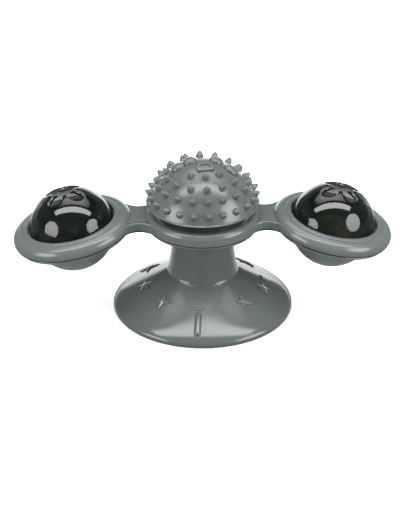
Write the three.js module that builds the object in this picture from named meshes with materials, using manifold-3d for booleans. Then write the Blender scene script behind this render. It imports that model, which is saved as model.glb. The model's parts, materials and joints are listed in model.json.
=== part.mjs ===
// A window spinner cat toy: a suction cup with a tall stem, a two-armed spinner that turns on it,
// a spiky brush dome above the hub, and a rotating ball in the pod at each end of the arms.
// One ball holds a flashing lamp, the other a pressed catnip ball.
// Millimetres, +Z up. The origin is the centre of the cup's rim, on the surface it stands on.
// The arms lie along X, with the lamp's pod at -X. The cup's release rib is near -Y.

import * as THREE from "three";
import { mergeVertices } from "three/addons/utils/BufferGeometryUtils.js";
import Module from "manifold-3d";

const wasm = await Module();
wasm.setup();

// Clearances
const SEAT = 0.15; // between flat faces that rest on each other
const GAP = 0.3; // round a piece that is pushed in, and along a parting line
const RUN = 0.25; // round a shaft that turns

// Suction cup and stem, one soft moulding
const CUP_RADIUS = 50;
const CUP_RIM_HEIGHT = 2.4;
const CUP_LIP = 3.1; // width of the flat face under the rim
const CUP_SLOPE_HEIGHT = 20.6; // from the top of the rim to the foot of the stem
const CUP_ROOF = 4.6; // soft material between the cavity and the foot of the stem
const SLOPE_PULL = { rimIn: 0.09, rimUp: 0.2, footOut: 0.13, footDown: 0.2 }; // shares of its run and rise
const SLOPE_BLEND = 1.3; // how far the slope's curve runs up the stem
const CAVITY_PULL = { edge: 0.92, rise: 0.33, roof: 0.34 }; // shares of the cavity's radius and height
const STEM_FOOT_RADIUS = 19.4;
const STEM_TOP_RADIUS = 16.8;
const STEM_LENGTH = 26;
const STEM_WAIST = 0.4; // share of the stem's length over which it narrows
const STEM_ROUND = 1;
const RIB_ANGLE = -3.7; // degrees from -Y towards +X
const RIB_RADIUS = 2.4;
const RIB_SINK = 1.2; // how deep the rib's centre line lies in the cup
const RIB_LENGTH = 14;
const RIB_SETBACK = 3; // from the cup's edge to the rib's outer end

// Rigid core in the stem, and the post that it carries
const CORE_RADIUS = 10;
const CORE_LENGTH = 21;
const CORE_BARB = 1;
const CORE_BARB_HEIGHT = 2.4;
const CORE_BARB_LIFT = 7.35; // from the core's lower end to the barb
const CORE_FLANGE_RADIUS = 13.5;
const CORE_FLANGE_THICKNESS = 2;
const POST_RADIUS = 5;

// Axle screw and washers
const SCREW_RADIUS = 2;
const SCREW_BITE = 18; // length of the axle screw in the post
const SCREW_TIP_ROOM = 2;
const AXLE_HEAD_RADIUS = 4;
const AXLE_HEAD_HEIGHT = 2.8;
const HEAD_CROWN = 0.7; // share of a screw head's radius that its flat end has
const AXLE_SOCKET = 1.6; // radius of its six-sided socket
const AXLE_SOCKET_DEPTH = 1.6;
const WASHER_THICKNESS = 0.8;
const THRUST_WASHER_RADIUS = 9;
const SPACER_RADIUS = 9;
const RETAINER_RADIUS = 5.4;

// Hub of the spinner
const HUB_LIFT = 1.3; // from the top of the stem to the underside of the hub
const HUB_RADIUS = 31.4;
const HUB_HEIGHT = 9.3;
const HUB_CREST_WIDTH = 3.4;
const HUB_DISH = 2.4; // depth of the dish inside the crest
const HUB_DISH_ROUND = 0.6; // rise of the dish's rounded edge
const CREST_END = 120; // degrees that the crest's round runs to, from outwards over the top
const HUB_BAND_HEIGHT = 2.2; // of the lower shell, which shows as a band
const BAND_STEP = 0.6; // how far the lower shell stands back from the upper one
const BAND_CHAMFER = 1.5;
const SHELL_WALL = 1.9;
const BUSH_WALL = 2;
const BUSH_FLANGE_WIDTH = 2.5;
const BUSH_FLANGE_THICKNESS = 1.2;

// Arms
const ARM_RISE = 1; // from the underside of the hub to the underside of the arm
const ARM_THICKNESS = 6;
const ARM_FILLET = 8.7; // radius of the hollow sides, tangent to the hub and to the pod
const ARM_GAP = 7.6; // between the hub and the pod, along X
const ARM_BEVEL = 0.7;

// Pods, each a ring round a ball, leaning outwards
const POD_TILT = THREE.MathUtils.degToRad(11.6);
const POD_DROP = 0.7; // from the underside of the hub down to the centre of the ball
const RING_WIDTH = 9.1; // from the lip to the outermost line
const RING_TUBE = 4.95; // radius of the ring's round outer side
const RING_DROP = 0.4; // how far the tube's centre lies below the ball's
const LIP_TOP = 4.85; // height of the lip over the ball's centre
const LAND_WIDTH = 2.9; // flat round the lip
const TUBE_END = 100; // degrees that the ring's inner skin runs to, from outwards over the top
const RING_PARTING = 2; // how far the parting line lies below the ball's centre
const RING_BAND_HEIGHT = 2.8;

// Balls
const BALL_RADIUS = 23.65;
const BALL_WALL = 2.2;
const BALL_GAP = 0.85; // between the ball and the lip
const FLANGE_LAP = 1.3; // how far the ball's flange reaches under the lip
const FLANGE_THICKNESS = 1.6;
const GROOVE_WALL = 1.5;
const SPIGOT_WALL = 1.5;
const SPIGOT_DEPTH = 2.6;
const BALL_TURN = THREE.MathUtils.degToRad(10); // each ball rests turned a little inwards

// Four-lobed opening in the top of each ball
const LOBES = 4;
const MOUTH_RADIUS = 4.4;
const NECK_RADIUS = 3.4; // joins each lobe to the middle
const NECK_DISTANCE = 5.8;
const LOBE_RADIUS = 4;
const LOBE_DISTANCE = 9;

// Flashing lamp unit in the left ball
const CASE_RADIUS = 13.2;
const CASE_WALL = 1.2;
const CASE_DOME_HEIGHT = 9;
const BOARD_THICKNESS = 1.2;
const CELL_RADIUS = 3.95;
const CELL_THICKNESS = 3.6;
const CELLS = 3;
const LAMP_RADIUS = 2.5;
const LAMP_FOOT = 0.4; // how far the lamp's foot stands out
const LAMP_HEIGHT = 5.4;
const SWITCH_RADIUS = 1.5;
const SWITCH_LENGTH = 8;
const SWITCH_OFFSET = 6;

// Catnip ball in the right ball
const CATNIP_RADIUS = 13;

// Brush dome and its carrier
const DOME_LIFT = 5; // from the hub's crest to the rim of the dome
const DOME_RIM_RADIUS = 31;
const DOME_RIM_HEIGHT = 2.2;
const DOME_RADIUS = 32.05; // the dome is the top of an egg with these half axes
const DOME_HALF_HEIGHT = 35.6;
const DOME_HEIGHT = 24.3;
const DOME_WALL = 2.4;
const DOME_LIP = 1.6; // soft lip that snaps under the carrier's plate
const DOME_LIP_THICKNESS = 1.2;
const CARRIER_THICKNESS = 2;
const CARRIER_NECK = 9.5;
const CARRIER_FLARE = 4;
const CARRIER_BOSS_RADIUS = 6.4;
const CARRIER_BOSS_HEIGHT = 3.4;
const CARRIER_RIBS = 4;
const CARRIER_RIB_THICKNESS = 1.6;
const CARRIER_RIB_TOP = 10;

// Spikes on the dome: how many in each ring, from the rim up, and the angle of each ring from the egg's axis
const SPIKE_RINGS = [
  { count: 24, polar: 59.5 },
  { count: 20, polar: 47 },
  { count: 16, polar: 36 },
  { count: 12, polar: 24 },
];
const SPIKE_TURN = 4.9; // degrees from -Y of the row of spikes that all rings share
const SPIKE_HEIGHT = 3.6;
const SPIKE_FOOT = 2.4;
const SPIKE_TIP = 0.9;

// Paw on top of the dome: one large pad and four toes, each angle in degrees from -Y
const PAW_PADS = [
  { angle: 10, polar: 9.7, across: 6.6, along: 5 },
  { angle: -114, polar: 12.4, across: 3.4, along: 3.9 },
  { angle: 115, polar: 12.9, across: 3.4, along: 3.9 },
  { angle: -87, polar: 23, across: 3.6, along: 3.9 },
  { angle: 83, polar: 24.4, across: 3.6, along: 3.9 },
];
const PAW_HEIGHT = 1.1;

// Shell screws
const SHELL_SCREW_RADIUS = 1.1;
const SHELL_SCREW_HEAD = 2.1;
const SHELL_SCREW_HEAD_HEIGHT = 1.2;
const HUB_SCREWS = 4;
const HUB_SCREW_CIRCLE = 21;
const BOSS_WALL = 2;
const LEDGE = 1.3; // plastic between a screw's head and the upper shell's boss
const SKIN = 0.6; // plastic left above a screw's tip

// Number of sides that round forms are built with
const FINE = 28;
const MEDIUM = 20;
const COARSE = 12;
const SMALL = 8;
const SPIKE_SIDES = 4;

// Heights and radii that follow from the sizes above
const slopeFoot = CUP_RIM_HEIGHT + CUP_SLOPE_HEIGHT;
const stemTop = slopeFoot + STEM_LENGTH;
const cavityTop = slopeFoot - CUP_ROOF;
const coreBottom = stemTop - CORE_LENGTH;

const thrustWasherBottom = stemTop + SEAT;
const bushBottom = thrustWasherBottom + WASHER_THICKNESS + SEAT;
const bushFlangeTop = bushBottom + BUSH_FLANGE_THICKNESS;
const bushInner = POST_RADIUS + RUN;
const bushOuter = bushInner + BUSH_WALL;
const bushHole = bushOuter + GAP;
const bushFlangeRadius = bushOuter + BUSH_FLANGE_WIDTH;

const hubBase = stemTop + HUB_LIFT;
const hubParting = hubBase + HUB_BAND_HEIGHT;
const hubCrest = hubBase + HUB_HEIGHT;
const dishFloor = hubCrest - HUB_DISH;
const dishRadius = HUB_RADIUS - 2 * HUB_CREST_WIDTH;
const armBase = hubBase + ARM_RISE;
const armTop = armBase + ARM_THICKNESS;
const bushTop = hubCrest - SEAT;
const postTop = bushTop + GAP;
const spacerBottom = postTop + SEAT;
const carrierBottom = spacerBottom + WASHER_THICKNESS + SEAT;

const ballInner = BALL_RADIUS - BALL_WALL;
const lipRadius = BALL_RADIUS + BALL_GAP;
const flangeRadius = lipRadius + FLANGE_LAP;
const grooveRadius = flangeRadius + GAP;
const grooveOuter = grooveRadius + GROOVE_WALL;
const ringRadius = lipRadius + RING_WIDTH;
const tubeCentre = ringRadius - RING_TUBE;
const podX = HUB_RADIUS + ARM_GAP + ringRadius * Math.cos(POD_TILT);
const podZ = hubBase - POD_DROP;
const flangeTop = FLANGE_THICKNESS / 2;
const lipBottom = flangeTop + GAP;
const bandBottom = -RING_PARTING - GAP - RING_BAND_HEIGHT;

const domeRimZ = hubCrest + DOME_LIFT;
const domeTop = domeRimZ + DOME_HEIGHT;
const eggCentre = domeTop - DOME_HALF_HEIGHT;
const plateBottom = domeRimZ + DOME_LIP_THICKNESS + GAP;
const plateTop = plateBottom + CARRIER_THICKNESS;
const carrierBossTop = plateTop + CARRIER_BOSS_HEIGHT;
const retainerBottom = carrierBossTop + SEAT;
const axleHeadBottom = retainerBottom + WASHER_THICKNESS + SEAT;

// Colours and finishes
function plastic(color, roughness, extra = {}) {
  return new THREE.MeshStandardMaterial({ color, roughness, metalness: 0, ...extra });
}

function metal(color, roughness) {
  return new THREE.MeshStandardMaterial({ color, roughness, metalness: 1 });
}

const GREY_SOFT = plastic(0x6e7676, 0.35);
const GREY_SHELL = plastic(0x7b8383, 0.3);
const GREY_BRUSH = plastic(0x747b7b, 0.45);
const WHITE_NYLON = plastic(0xe6e4dc, 0.5);
const BLACK_CARRIER = plastic(0x25282a, 0.5);
const SMOKE = plastic(0x1c1f20, 0.08, { transparent: true, opacity: 0.7 });
const FROST = plastic(0xe9ecdf, 0.5, { transparent: true, opacity: 0.8 });
const GREEN_BOARD = plastic(0x2f6b3c, 0.5);
const LAMP_LENS = plastic(0xdfe3b0, 0.15);
const HERB = plastic(0x5d5d35, 0.95);
const STEEL = metal(0xb9bcbe, 0.3);
const CELL_STEEL = metal(0xc8cacb, 0.25);

// Solids

// A closed three.js geometry as a solid that can be joined and cut.
function solid(geometry) {
  const bare = geometry.index ? geometry.toNonIndexed() : geometry.clone();
  bare.deleteAttribute("normal");
  bare.deleteAttribute("uv");
  const merged = mergeVertices(bare, 1e-4);
  const index = merged.index.array;
  const kept = [];
  for (let i = 0; i < index.length; i += 3) {
    const [a, b, c] = index.subarray(i, i + 3);
    if (a !== b && b !== c && a !== c) kept.push(a, b, c);
  }
  return new wasm.Manifold(
    new wasm.Mesh({
      numProp: 3,
      vertProperties: merged.attributes.position.array,
      triVerts: new Uint32Array(kept),
    }),
  );
}

function join(first, ...others) {
  return others.reduce((whole, piece) => whole.add(piece), first);
}

function cut(whole, ...tools) {
  return tools.reduce((rest, tool) => rest.subtract(tool), whole);
}

// A named mesh from a solid, with a material of its own.
function piece(name, body, material) {
  const { vertProperties, triVerts } = body.getMesh();
  const geometry = new THREE.BufferGeometry();
  geometry.setAttribute("position", new THREE.BufferAttribute(vertProperties, 3));
  geometry.setIndex(new THREE.BufferAttribute(triVerts, 1));
  const faceted = geometry.toNonIndexed();
  faceted.computeVertexNormals();
  const mesh = new THREE.Mesh(faceted, material.clone());
  mesh.name = name;
  return mesh;
}

// Turns a profile of [radius, height] points round the Z axis. A profile that leaves the axis is a ring.
function revolveGeometry(profile, sides) {
  const points = profile.map(([radius, height]) => new THREE.Vector2(radius, height));
  if (THREE.ShapeUtils.area(points) < 0) points.reverse();
  const [first, last] = [points[0], points.at(-1)];
  if (first.x > 0 || last.x > 0) points.push(first.clone());
  return new THREE.LatheGeometry(points, sides).rotateX(Math.PI / 2);
}

function revolve(profile, sides) {
  return solid(revolveGeometry(profile, sides));
}

function cylinder(radius, bottom, top, sides) {
  return revolve([[0, bottom], [radius, bottom], [radius, top], [0, top]], sides);
}

function tube(inner, outer, bottom, top, sides) {
  return revolve([[inner, bottom], [outer, bottom], [outer, top], [inner, top]], sides);
}

// Points of an arc in a profile, from one angle to the other in degrees, 0 being outwards and 90 up.
function arc(centre, height, radius, from, to, steps) {
  return Array.from({ length: steps + 1 }, (_, i) => {
    const angle = THREE.MathUtils.degToRad(from + ((to - from) * i) / steps);
    return [centre + radius * Math.cos(angle), height + radius * Math.sin(angle)];
  });
}

function at(body, x, y, z = 0) {
  return body.translate([x, y, z]);
}

// Suction cup

// The cup's outer slope, from the top of the rim to the foot of the stem.
function cupSlope() {
  const run = CUP_RADIUS - STEM_FOOT_RADIUS;
  return new THREE.CubicBezierCurve(
    new THREE.Vector2(CUP_RADIUS, CUP_RIM_HEIGHT),
    new THREE.Vector2(CUP_RADIUS - SLOPE_PULL.rimIn * run, CUP_RIM_HEIGHT + SLOPE_PULL.rimUp * CUP_SLOPE_HEIGHT),
    new THREE.Vector2(
      STEM_FOOT_RADIUS + SLOPE_PULL.footOut * run,
      slopeFoot - SLOPE_PULL.footDown * CUP_SLOPE_HEIGHT,
    ),
    new THREE.Vector2(STEM_FOOT_RADIUS, slopeFoot + SLOPE_BLEND),
  );
}

// The hollow under the cup, from the inner edge of the rim to the roof over the axis.
function cupCavity() {
  const edge = CUP_RADIUS - CUP_LIP;
  return new THREE.CubicBezierCurve(
    new THREE.Vector2(edge, 0),
    new THREE.Vector2(CAVITY_PULL.edge * edge, CAVITY_PULL.rise * cavityTop),
    new THREE.Vector2(CAVITY_PULL.roof * edge, cavityTop),
    new THREE.Vector2(0, cavityTop),
  );
}

function pairs(curve, steps) {
  return curve.getPoints(steps).map((point) => [point.x, point.y]);
}

// The core's outline, grown by a clearance for the socket that it is pressed into.
function coreProfile(grow) {
  const body = CORE_RADIUS + grow;
  const barb = coreBottom + CORE_BARB_LIFT;
  const flange = CORE_FLANGE_RADIUS + grow;
  const flangeBottom = stemTop - CORE_FLANGE_THICKNESS - grow;
  return [
    [0, coreBottom - grow],
    [body, coreBottom - grow],
    [body, barb - grow],
    [body + CORE_BARB, barb + CORE_BARB_HEIGHT],
    [body, barb + CORE_BARB_HEIGHT + grow],
    [body, flangeBottom],
    [flange, flangeBottom],
    [flange, stemTop + grow],
    [0, stemTop + grow],
  ];
}

// The release rib, a half-round bar that runs down the slope to the rim.
function releaseRib() {
  const slope = cupSlope();
  const outer = slope.getPoint(RIB_SETBACK / (CUP_RADIUS - STEM_FOOT_RADIUS));
  const inner = slope.getPoint((RIB_SETBACK + RIB_LENGTH) / (CUP_RADIUS - STEM_FOOT_RADIUS));
  const lean = Math.atan2(inner.y - outer.y, outer.x - inner.x);
  const length = Math.hypot(outer.x - inner.x, inner.y - outer.y);
  const bar = new THREE.CapsuleGeometry(RIB_RADIUS, length - RIB_RADIUS, 4, SMALL);
  bar.rotateX(lean);
  const middle = outer.clone().add(inner).multiplyScalar(0.5);
  bar.translate(0, -middle.x + RIB_SINK * Math.sin(lean), middle.y - RIB_SINK * Math.cos(lean));
  bar.rotateZ(THREE.MathUtils.degToRad(RIB_ANGLE));
  return solid(bar);
}

function suctionCup() {
  const body = revolve(
    [
      ...pairs(cupCavity(), 6).reverse(),
      [CUP_RADIUS, 0],
      ...pairs(cupSlope(), 8),
      [STEM_TOP_RADIUS + STEM_ROUND, slopeFoot + STEM_WAIST * STEM_LENGTH],
      [STEM_TOP_RADIUS, stemTop - STEM_ROUND],
      [STEM_TOP_RADIUS - STEM_ROUND, stemTop],
      [0, stemTop],
    ],
    FINE,
  );
  const socket = revolve(coreProfile(GAP), COARSE);
  return piece("suction_cup", cut(join(body, releaseRib()), socket), GREY_SOFT);
}

// Post, screw and washers

function stemCore() {
  const body = join(
    revolve(coreProfile(0), COARSE),
    cylinder(POST_RADIUS, stemTop - CORE_FLANGE_THICKNESS / 2, postTop, COARSE),
  );
  const pilotBottom = postTop - SCREW_BITE - SCREW_TIP_ROOM;
  const pilot = cylinder(SCREW_RADIUS + RUN, pilotBottom, postTop + GAP, SMALL);
  return piece("stem_core", cut(body, pilot), WHITE_NYLON);
}

function washer(name, outer, inner, bottom, material) {
  return piece(name, tube(inner, outer, bottom, bottom + WASHER_THICKNESS, COARSE), material);
}

function axleScrew() {
  const headTop = axleHeadBottom + AXLE_HEAD_HEIGHT;
  const tip = postTop - SCREW_BITE;
  const body = revolve(
    [
      [0, tip],
      [SCREW_RADIUS / 2, tip],
      [SCREW_RADIUS, tip + SCREW_RADIUS],
      [SCREW_RADIUS, axleHeadBottom],
      [AXLE_HEAD_RADIUS, axleHeadBottom],
      [AXLE_HEAD_RADIUS, headTop - AXLE_HEAD_HEIGHT / 3],
      [AXLE_HEAD_RADIUS * HEAD_CROWN, headTop],
      [0, headTop],
    ],
    COARSE,
  );
  const socket = cylinder(AXLE_SOCKET, headTop - AXLE_SOCKET_DEPTH, headTop + GAP, 6);
  return piece("axle_screw", cut(body, socket), STEEL);
}

function hubBush() {
  const body = revolve(
    [
      [bushInner, bushBottom],
      [bushFlangeRadius, bushBottom],
      [bushFlangeRadius, bushFlangeTop],
      [bushOuter, bushFlangeTop],
      [bushOuter, bushTop],
      [bushInner, bushTop],
    ],
    COARSE,
  );
  return piece("hub_bush", body, WHITE_NYLON);
}

// Spinner shells

// Carries a geometry from the ball's own frame to its place in the pod at the given side.
function inPod(geometry, side) {
  return geometry.rotateY(side * POD_TILT).translate(side * podX, 0, podZ);
}

function revolveInPod(profile, side) {
  return solid(inPod(revolveGeometry(profile, FINE), side));
}

// The arm's outline from above. Its hollow sides are arcs that touch the hub's circle and the pod's circle.
function armOutline(side, inset, root) {
  const hubReach = HUB_RADIUS + ARM_FILLET;
  const podReach = ringRadius * Math.cos(POD_TILT) + ARM_FILLET;
  const x = (hubReach ** 2 - podReach ** 2 + podX ** 2) / (2 * podX);
  const y = Math.sqrt(hubReach ** 2 - x ** 2);
  const atHub = Math.atan2(-y, -x);
  const atPod = Math.atan2(-y, podX - x);
  const hollow = new THREE.Path().absarc(x, y, ARM_FILLET + inset, atHub, atPod, false).getPoints(4);
  const [first, last] = [hollow[0], hollow.at(-1)];
  hollow.unshift(new THREE.Vector2(first.x - root, first.y));
  hollow.push(new THREE.Vector2(last.x + root, last.y));
  const mirrored = hollow.map((point) => new THREE.Vector2(point.x, -point.y)).reverse();
  return new THREE.Shape([...hollow, ...mirrored].map((p) => new THREE.Vector2(side * p.x, p.y)));
}

function armBlank(side) {
  const geometry = new THREE.ExtrudeGeometry(armOutline(side, 0, RING_TUBE / 2), {
    depth: ARM_THICKNESS - 2 * ARM_BEVEL,
    bevelThickness: ARM_BEVEL,
    bevelSize: ARM_BEVEL,
    bevelOffset: -ARM_BEVEL,
    bevelSegments: 1,
  });
  return solid(geometry.translate(0, 0, armBase + ARM_BEVEL));
}

function armHollow(side) {
  const depth = armTop - SHELL_WALL - armBase;
  const outline = armOutline(side, SHELL_WALL, GAP);
  return solid(new THREE.ExtrudeGeometry(outline, { depth, bevelEnabled: false }).translate(0, 0, armBase));
}

// The round outer side of a pod's ring at a distance inside its skin, from the parting line up to an angle.
function ringArc(inset, to, steps) {
  const radius = RING_TUBE - inset;
  const from = THREE.MathUtils.radToDeg(Math.asin((RING_DROP - RING_PARTING) / radius));
  return arc(tubeCentre, -RING_DROP, radius, from, to, steps);
}

function upperRingProfile() {
  const land = lipRadius + LAND_WIDTH;
  const under = ringArc(SHELL_WALL, TUBE_END, 3);
  const skirt = lipRadius + SHELL_WALL - SEAT;
  return [
    [lipRadius, lipBottom],
    [lipRadius, LIP_TOP],
    [land, LIP_TOP],
    ...ringArc(0, 90, 4).reverse(),
    ...under,
    [skirt, under.at(-1)[1]],
    [skirt, lipBottom],
  ];
}

// What lies inside the upper ring's walls, for clearing the end of the arm out of it.
function upperRingInside() {
  const under = ringArc(SHELL_WALL, TUBE_END, 3);
  const low = bandBottom - RING_WIDTH;
  return [[0, low], [under[0][0], low], ...under, [0, under.at(-1)[1]]];
}

function lowerRingProfile() {
  const top = -RING_PARTING - GAP;
  const outer = ringArc(0, 0, 1)[0][0] - BAND_STEP;
  const floor = bandBottom + SHELL_WALL;
  return [
    [lipRadius, bandBottom],
    [outer - BAND_CHAMFER, bandBottom],
    [outer - BAND_STEP, bandBottom + BAND_STEP],
    [outer, top],
    [outer - SHELL_WALL, top],
    [outer - SHELL_WALL, floor],
    [grooveOuter, floor],
    [grooveOuter, flangeTop],
    [grooveRadius, flangeTop],
    [grooveRadius, -lipBottom],
    [lipRadius, -lipBottom],
  ];
}

// Where the shell screws go. Each ledge is the plastic that a screw's head is drawn up against.
function screwPlaces() {
  const hubPlaces = Array.from({ length: HUB_SCREWS }, (_, i) => {
    const angle = ((i + 0.5) / HUB_SCREWS) * 2 * Math.PI;
    return {
      name: `hub_screw_${i + 1}`,
      x: HUB_SCREW_CIRCLE * Math.cos(angle),
      y: HUB_SCREW_CIRCLE * Math.sin(angle),
      base: hubBase,
      top: dishFloor,
    };
  });
  const armPlaces = [-1, 1].map((side) => ({
    name: side < 0 ? "arm_screw_left" : "arm_screw_right",
    x: side * (HUB_RADIUS + ARM_GAP / 2),
    y: 0,
    base: armBase,
    top: armTop,
  }));
  return [...hubPlaces, ...armPlaces].map((place) => ({
    ...place,
    ledge: place.base + SHELL_SCREW_HEAD_HEIGHT + SEAT + GAP,
  }));
}

const screws = screwPlaces();
const screwLength = Math.min(...screws.map(({ top, ledge }) => top - SKIN - SEAT - ledge));

function upperBoss({ x, y, ledge, top }) {
  return at(cylinder(SHELL_SCREW_RADIUS + BOSS_WALL, ledge + LEDGE + GAP, top - SKIN / 2, SMALL), x, y);
}

function lowerBoss({ x, y, base, ledge }) {
  return at(cylinder(SHELL_SCREW_HEAD + GAP + BOSS_WALL / 2, base, ledge + LEDGE, SMALL), x, y);
}

function pilotHole({ x, y, ledge }) {
  return at(cylinder(SHELL_SCREW_RADIUS + RUN, ledge - GAP, ledge + screwLength + SEAT, SMALL), x, y);
}

function headPocket({ x, y, base, ledge }) {
  return at(cylinder(SHELL_SCREW_HEAD + GAP, base - GAP, ledge, SMALL), x, y);
}

function upperHubProfile() {
  const round = HUB_CREST_WIDTH / 2 - SEAT;
  return [
    [0, hubParting],
    [HUB_RADIUS - SEAT, hubParting],
    [HUB_RADIUS, hubParting + round],
    ...arc(HUB_RADIUS - round, hubCrest - round, round, 0, CREST_END, 3),
    [dishRadius + HUB_CREST_WIDTH / 2, dishFloor + HUB_DISH_ROUND],
    [dishRadius, dishFloor],
    [0, dishFloor],
  ];
}

function upperHubHollow() {
  const outer = HUB_RADIUS - SHELL_WALL;
  return [
    [0, hubParting - SHELL_WALL],
    [outer, hubParting - SHELL_WALL],
    [outer, dishFloor - SEAT],
    [outer - SHELL_WALL, dishFloor - SEAT],
    [dishRadius - SHELL_WALL / 2, dishFloor - SHELL_WALL],
    [0, dishFloor - SHELL_WALL],
  ];
}

function upperArm(side) {
  const below = cylinder(podX, hubParting - HUB_HEIGHT, hubParting, COARSE);
  const band = lowerRingProfile()[3][0] + GAP;
  const podBand = revolveInPod(
    [[0, bandBottom - RING_WIDTH], [band, bandBottom - RING_WIDTH], [band, -RING_PARTING], [0, -RING_PARTING]],
    side,
  );
  return cut(armBlank(side), below, podBand, revolveInPod(upperRingInside(), side));
}

function rotorUpperShell() {
  const sides = [-1, 1];
  const outside = join(
    revolve(upperHubProfile(), FINE),
    ...sides.map(upperArm),
    ...sides.map((side) => revolveInPod(upperRingProfile(), side)),
  );
  const hollowed = cut(outside, revolve(upperHubHollow(), FINE), ...sides.map(armHollow));
  const bossBottom = bushFlangeTop + SEAT + SHELL_WALL + GAP;
  const centre = cylinder(bushHole + BOSS_WALL, bossBottom, dishFloor + BOSS_WALL / 2, COARSE);
  const bossed = join(hollowed, centre, ...screws.map(upperBoss));
  const hole = cylinder(bushHole, hubBase, hubCrest, COARSE);
  return piece("rotor_upper_shell", cut(bossed, hole, ...screws.map(pilotHole)), GREY_SHELL);
}

function lowerHubProfile() {
  const outer = HUB_RADIUS - BAND_STEP;
  const recess = bushFlangeRadius + GAP;
  const roof = bushFlangeTop + SEAT;
  const top = hubParting - GAP;
  return [
    [bushHole, roof],
    [recess, roof],
    [recess, hubBase],
    [outer - BAND_STEP, hubBase],
    [outer, hubBase + BAND_STEP],
    [outer, top],
    [recess + SHELL_WALL, top],
    [recess + SHELL_WALL, roof + SHELL_WALL],
    [bushHole, roof + SHELL_WALL],
  ];
}

function lowerArm(side) {
  const top = hubParting - GAP;
  const above = cylinder(podX, top, top + HUB_HEIGHT, COARSE);
  const hub = cylinder(HUB_RADIUS - HUB_CREST_WIDTH, hubBase, top, COARSE);
  return cut(armBlank(side), above, hub);
}

function rotorLowerShell() {
  const sides = [-1, 1];
  const body = join(
    revolve(lowerHubProfile(), FINE),
    ...sides.map(lowerArm),
    ...sides.map((side) => revolveInPod(lowerRingProfile(), side)),
    ...screws.map(lowerBoss),
  );
  const holes = [...screws.map(headPocket), ...screws.map(pilotHole)];
  return piece("rotor_lower_shell", cut(body, ...holes), GREY_SHELL);
}

function shellScrew({ name, x, y, ledge }) {
  const headTop = ledge - SEAT;
  const tip = headTop + screwLength;
  const body = revolve(
    [
      [0, headTop - SHELL_SCREW_HEAD_HEIGHT],
      [SHELL_SCREW_HEAD * HEAD_CROWN, headTop - SHELL_SCREW_HEAD_HEIGHT],
      [SHELL_SCREW_HEAD, headTop - SHELL_SCREW_HEAD_HEIGHT / 2],
      [SHELL_SCREW_HEAD, headTop],
      [SHELL_SCREW_RADIUS, headTop],
      [SHELL_SCREW_RADIUS, tip - SHELL_SCREW_RADIUS],
      [0, tip],
    ],
    SMALL,
  );
  return piece(name, at(body, x, y), STEEL);
}

// Balls, modelled round their own centre with the pod's axis along Z

function ballBase(name) {
  const rim = THREE.MathUtils.radToDeg(Math.asin(flangeTop / BALL_RADIUS));
  const profile = [
    ...arc(0, 0, ballInner, -90, 0, 5),
    [ballInner, flangeTop],
    [flangeRadius, flangeTop],
    [flangeRadius, -flangeTop],
    ...arc(0, 0, BALL_RADIUS, -rim, -90, 5),
  ];
  return piece(name, revolve(onAxis(profile), MEDIUM), GREY_SHELL);
}

// Arcs that end on the axis end there exactly.
function onAxis(profile) {
  return profile.map(([radius, height]) => [Math.abs(radius) < 1e-6 ? 0 : radius, height]);
}

// The opening's cutters: one in the middle, and a neck and a lobe in each of four directions.
function cloverCutters() {
  const drill = (radius) => cylinder(radius, 0, 2 * BALL_RADIUS, COARSE);
  const leaves = Array.from({ length: LOBES }, (_, i) => {
    const angle = ((i + 0.5) / LOBES) * 2 * Math.PI;
    const [x, y] = [Math.cos(angle), Math.sin(angle)];
    return [
      at(drill(NECK_RADIUS), NECK_DISTANCE * x, NECK_DISTANCE * y),
      at(drill(LOBE_RADIUS), LOBE_DISTANCE * x, LOBE_DISTANCE * y),
    ];
  });
  return [drill(MOUTH_RADIUS), ...leaves.flat()];
}

function ballCover(name) {
  const bottom = flangeTop + SEAT;
  const spigot = ballInner - GAP;
  const inside = spigot - SPIGOT_WALL;
  const from = THREE.MathUtils.radToDeg(Math.asin(bottom / BALL_RADIUS));
  const inner = THREE.MathUtils.radToDeg(Math.acos(spigot / ballInner));
  const shoulder = arc(0, 0, ballInner, inner, 90, 4);
  const profile = [
    ...arc(0, 0, BALL_RADIUS, 90, from, 5),
    [spigot, bottom],
    [spigot, bottom - SPIGOT_DEPTH],
    [inside, bottom - SPIGOT_DEPTH],
    [inside, shoulder[0][1] - SPIGOT_WALL],
    ...shoulder,
  ];
  return piece(name, cut(revolve(onAxis(profile), MEDIUM), ...cloverCutters()), SMOKE);
}

// Flashing lamp unit

const caseBottom = -Math.sqrt((ballInner - GAP) ** 2 - CASE_RADIUS ** 2);
const cellCentre = caseBottom + CASE_WALL + SEAT + CELL_RADIUS;
const boardBottom = cellCentre + CELL_RADIUS + SEAT;
const boardTop = boardBottom + BOARD_THICKNESS;
const caseSplit = boardTop + SEAT;
const caseInner = CASE_RADIUS - CASE_WALL;

function ledCaseLower() {
  const ledge = boardBottom - SEAT;
  const profile = [
    [0, caseBottom],
    [CASE_RADIUS, caseBottom],
    [CASE_RADIUS, caseSplit],
    [caseInner, caseSplit],
    [caseInner, ledge],
    [caseInner - CASE_WALL, ledge],
    [caseInner - CASE_WALL, caseBottom + CASE_WALL],
    [0, caseBottom + CASE_WALL],
  ];
  return piece("led_case_lower", revolve(profile, COARSE), FROST);
}

function ledCaseUpper() {
  const bottom = caseSplit + SEAT;
  const eyebrow = (inset, from, to) =>
    arc(0, 0, 1, from, to, 3).map(([x, y]) => [
      x * (CASE_RADIUS - inset),
      bottom + CASE_WALL + y * (CASE_DOME_HEIGHT - CASE_WALL - inset),
    ]);
  const profile = [
    ...eyebrow(0, 90, 0),
    [CASE_RADIUS, bottom],
    [caseInner, bottom],
    ...eyebrow(CASE_WALL, 0, 90),
  ];
  return piece("led_case_upper", revolve(onAxis(profile), COARSE), FROST);
}

function ledBoard() {
  return piece("led_board", cylinder(caseInner - GAP, boardBottom, boardTop, COARSE), GREEN_BOARD);
}

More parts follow.
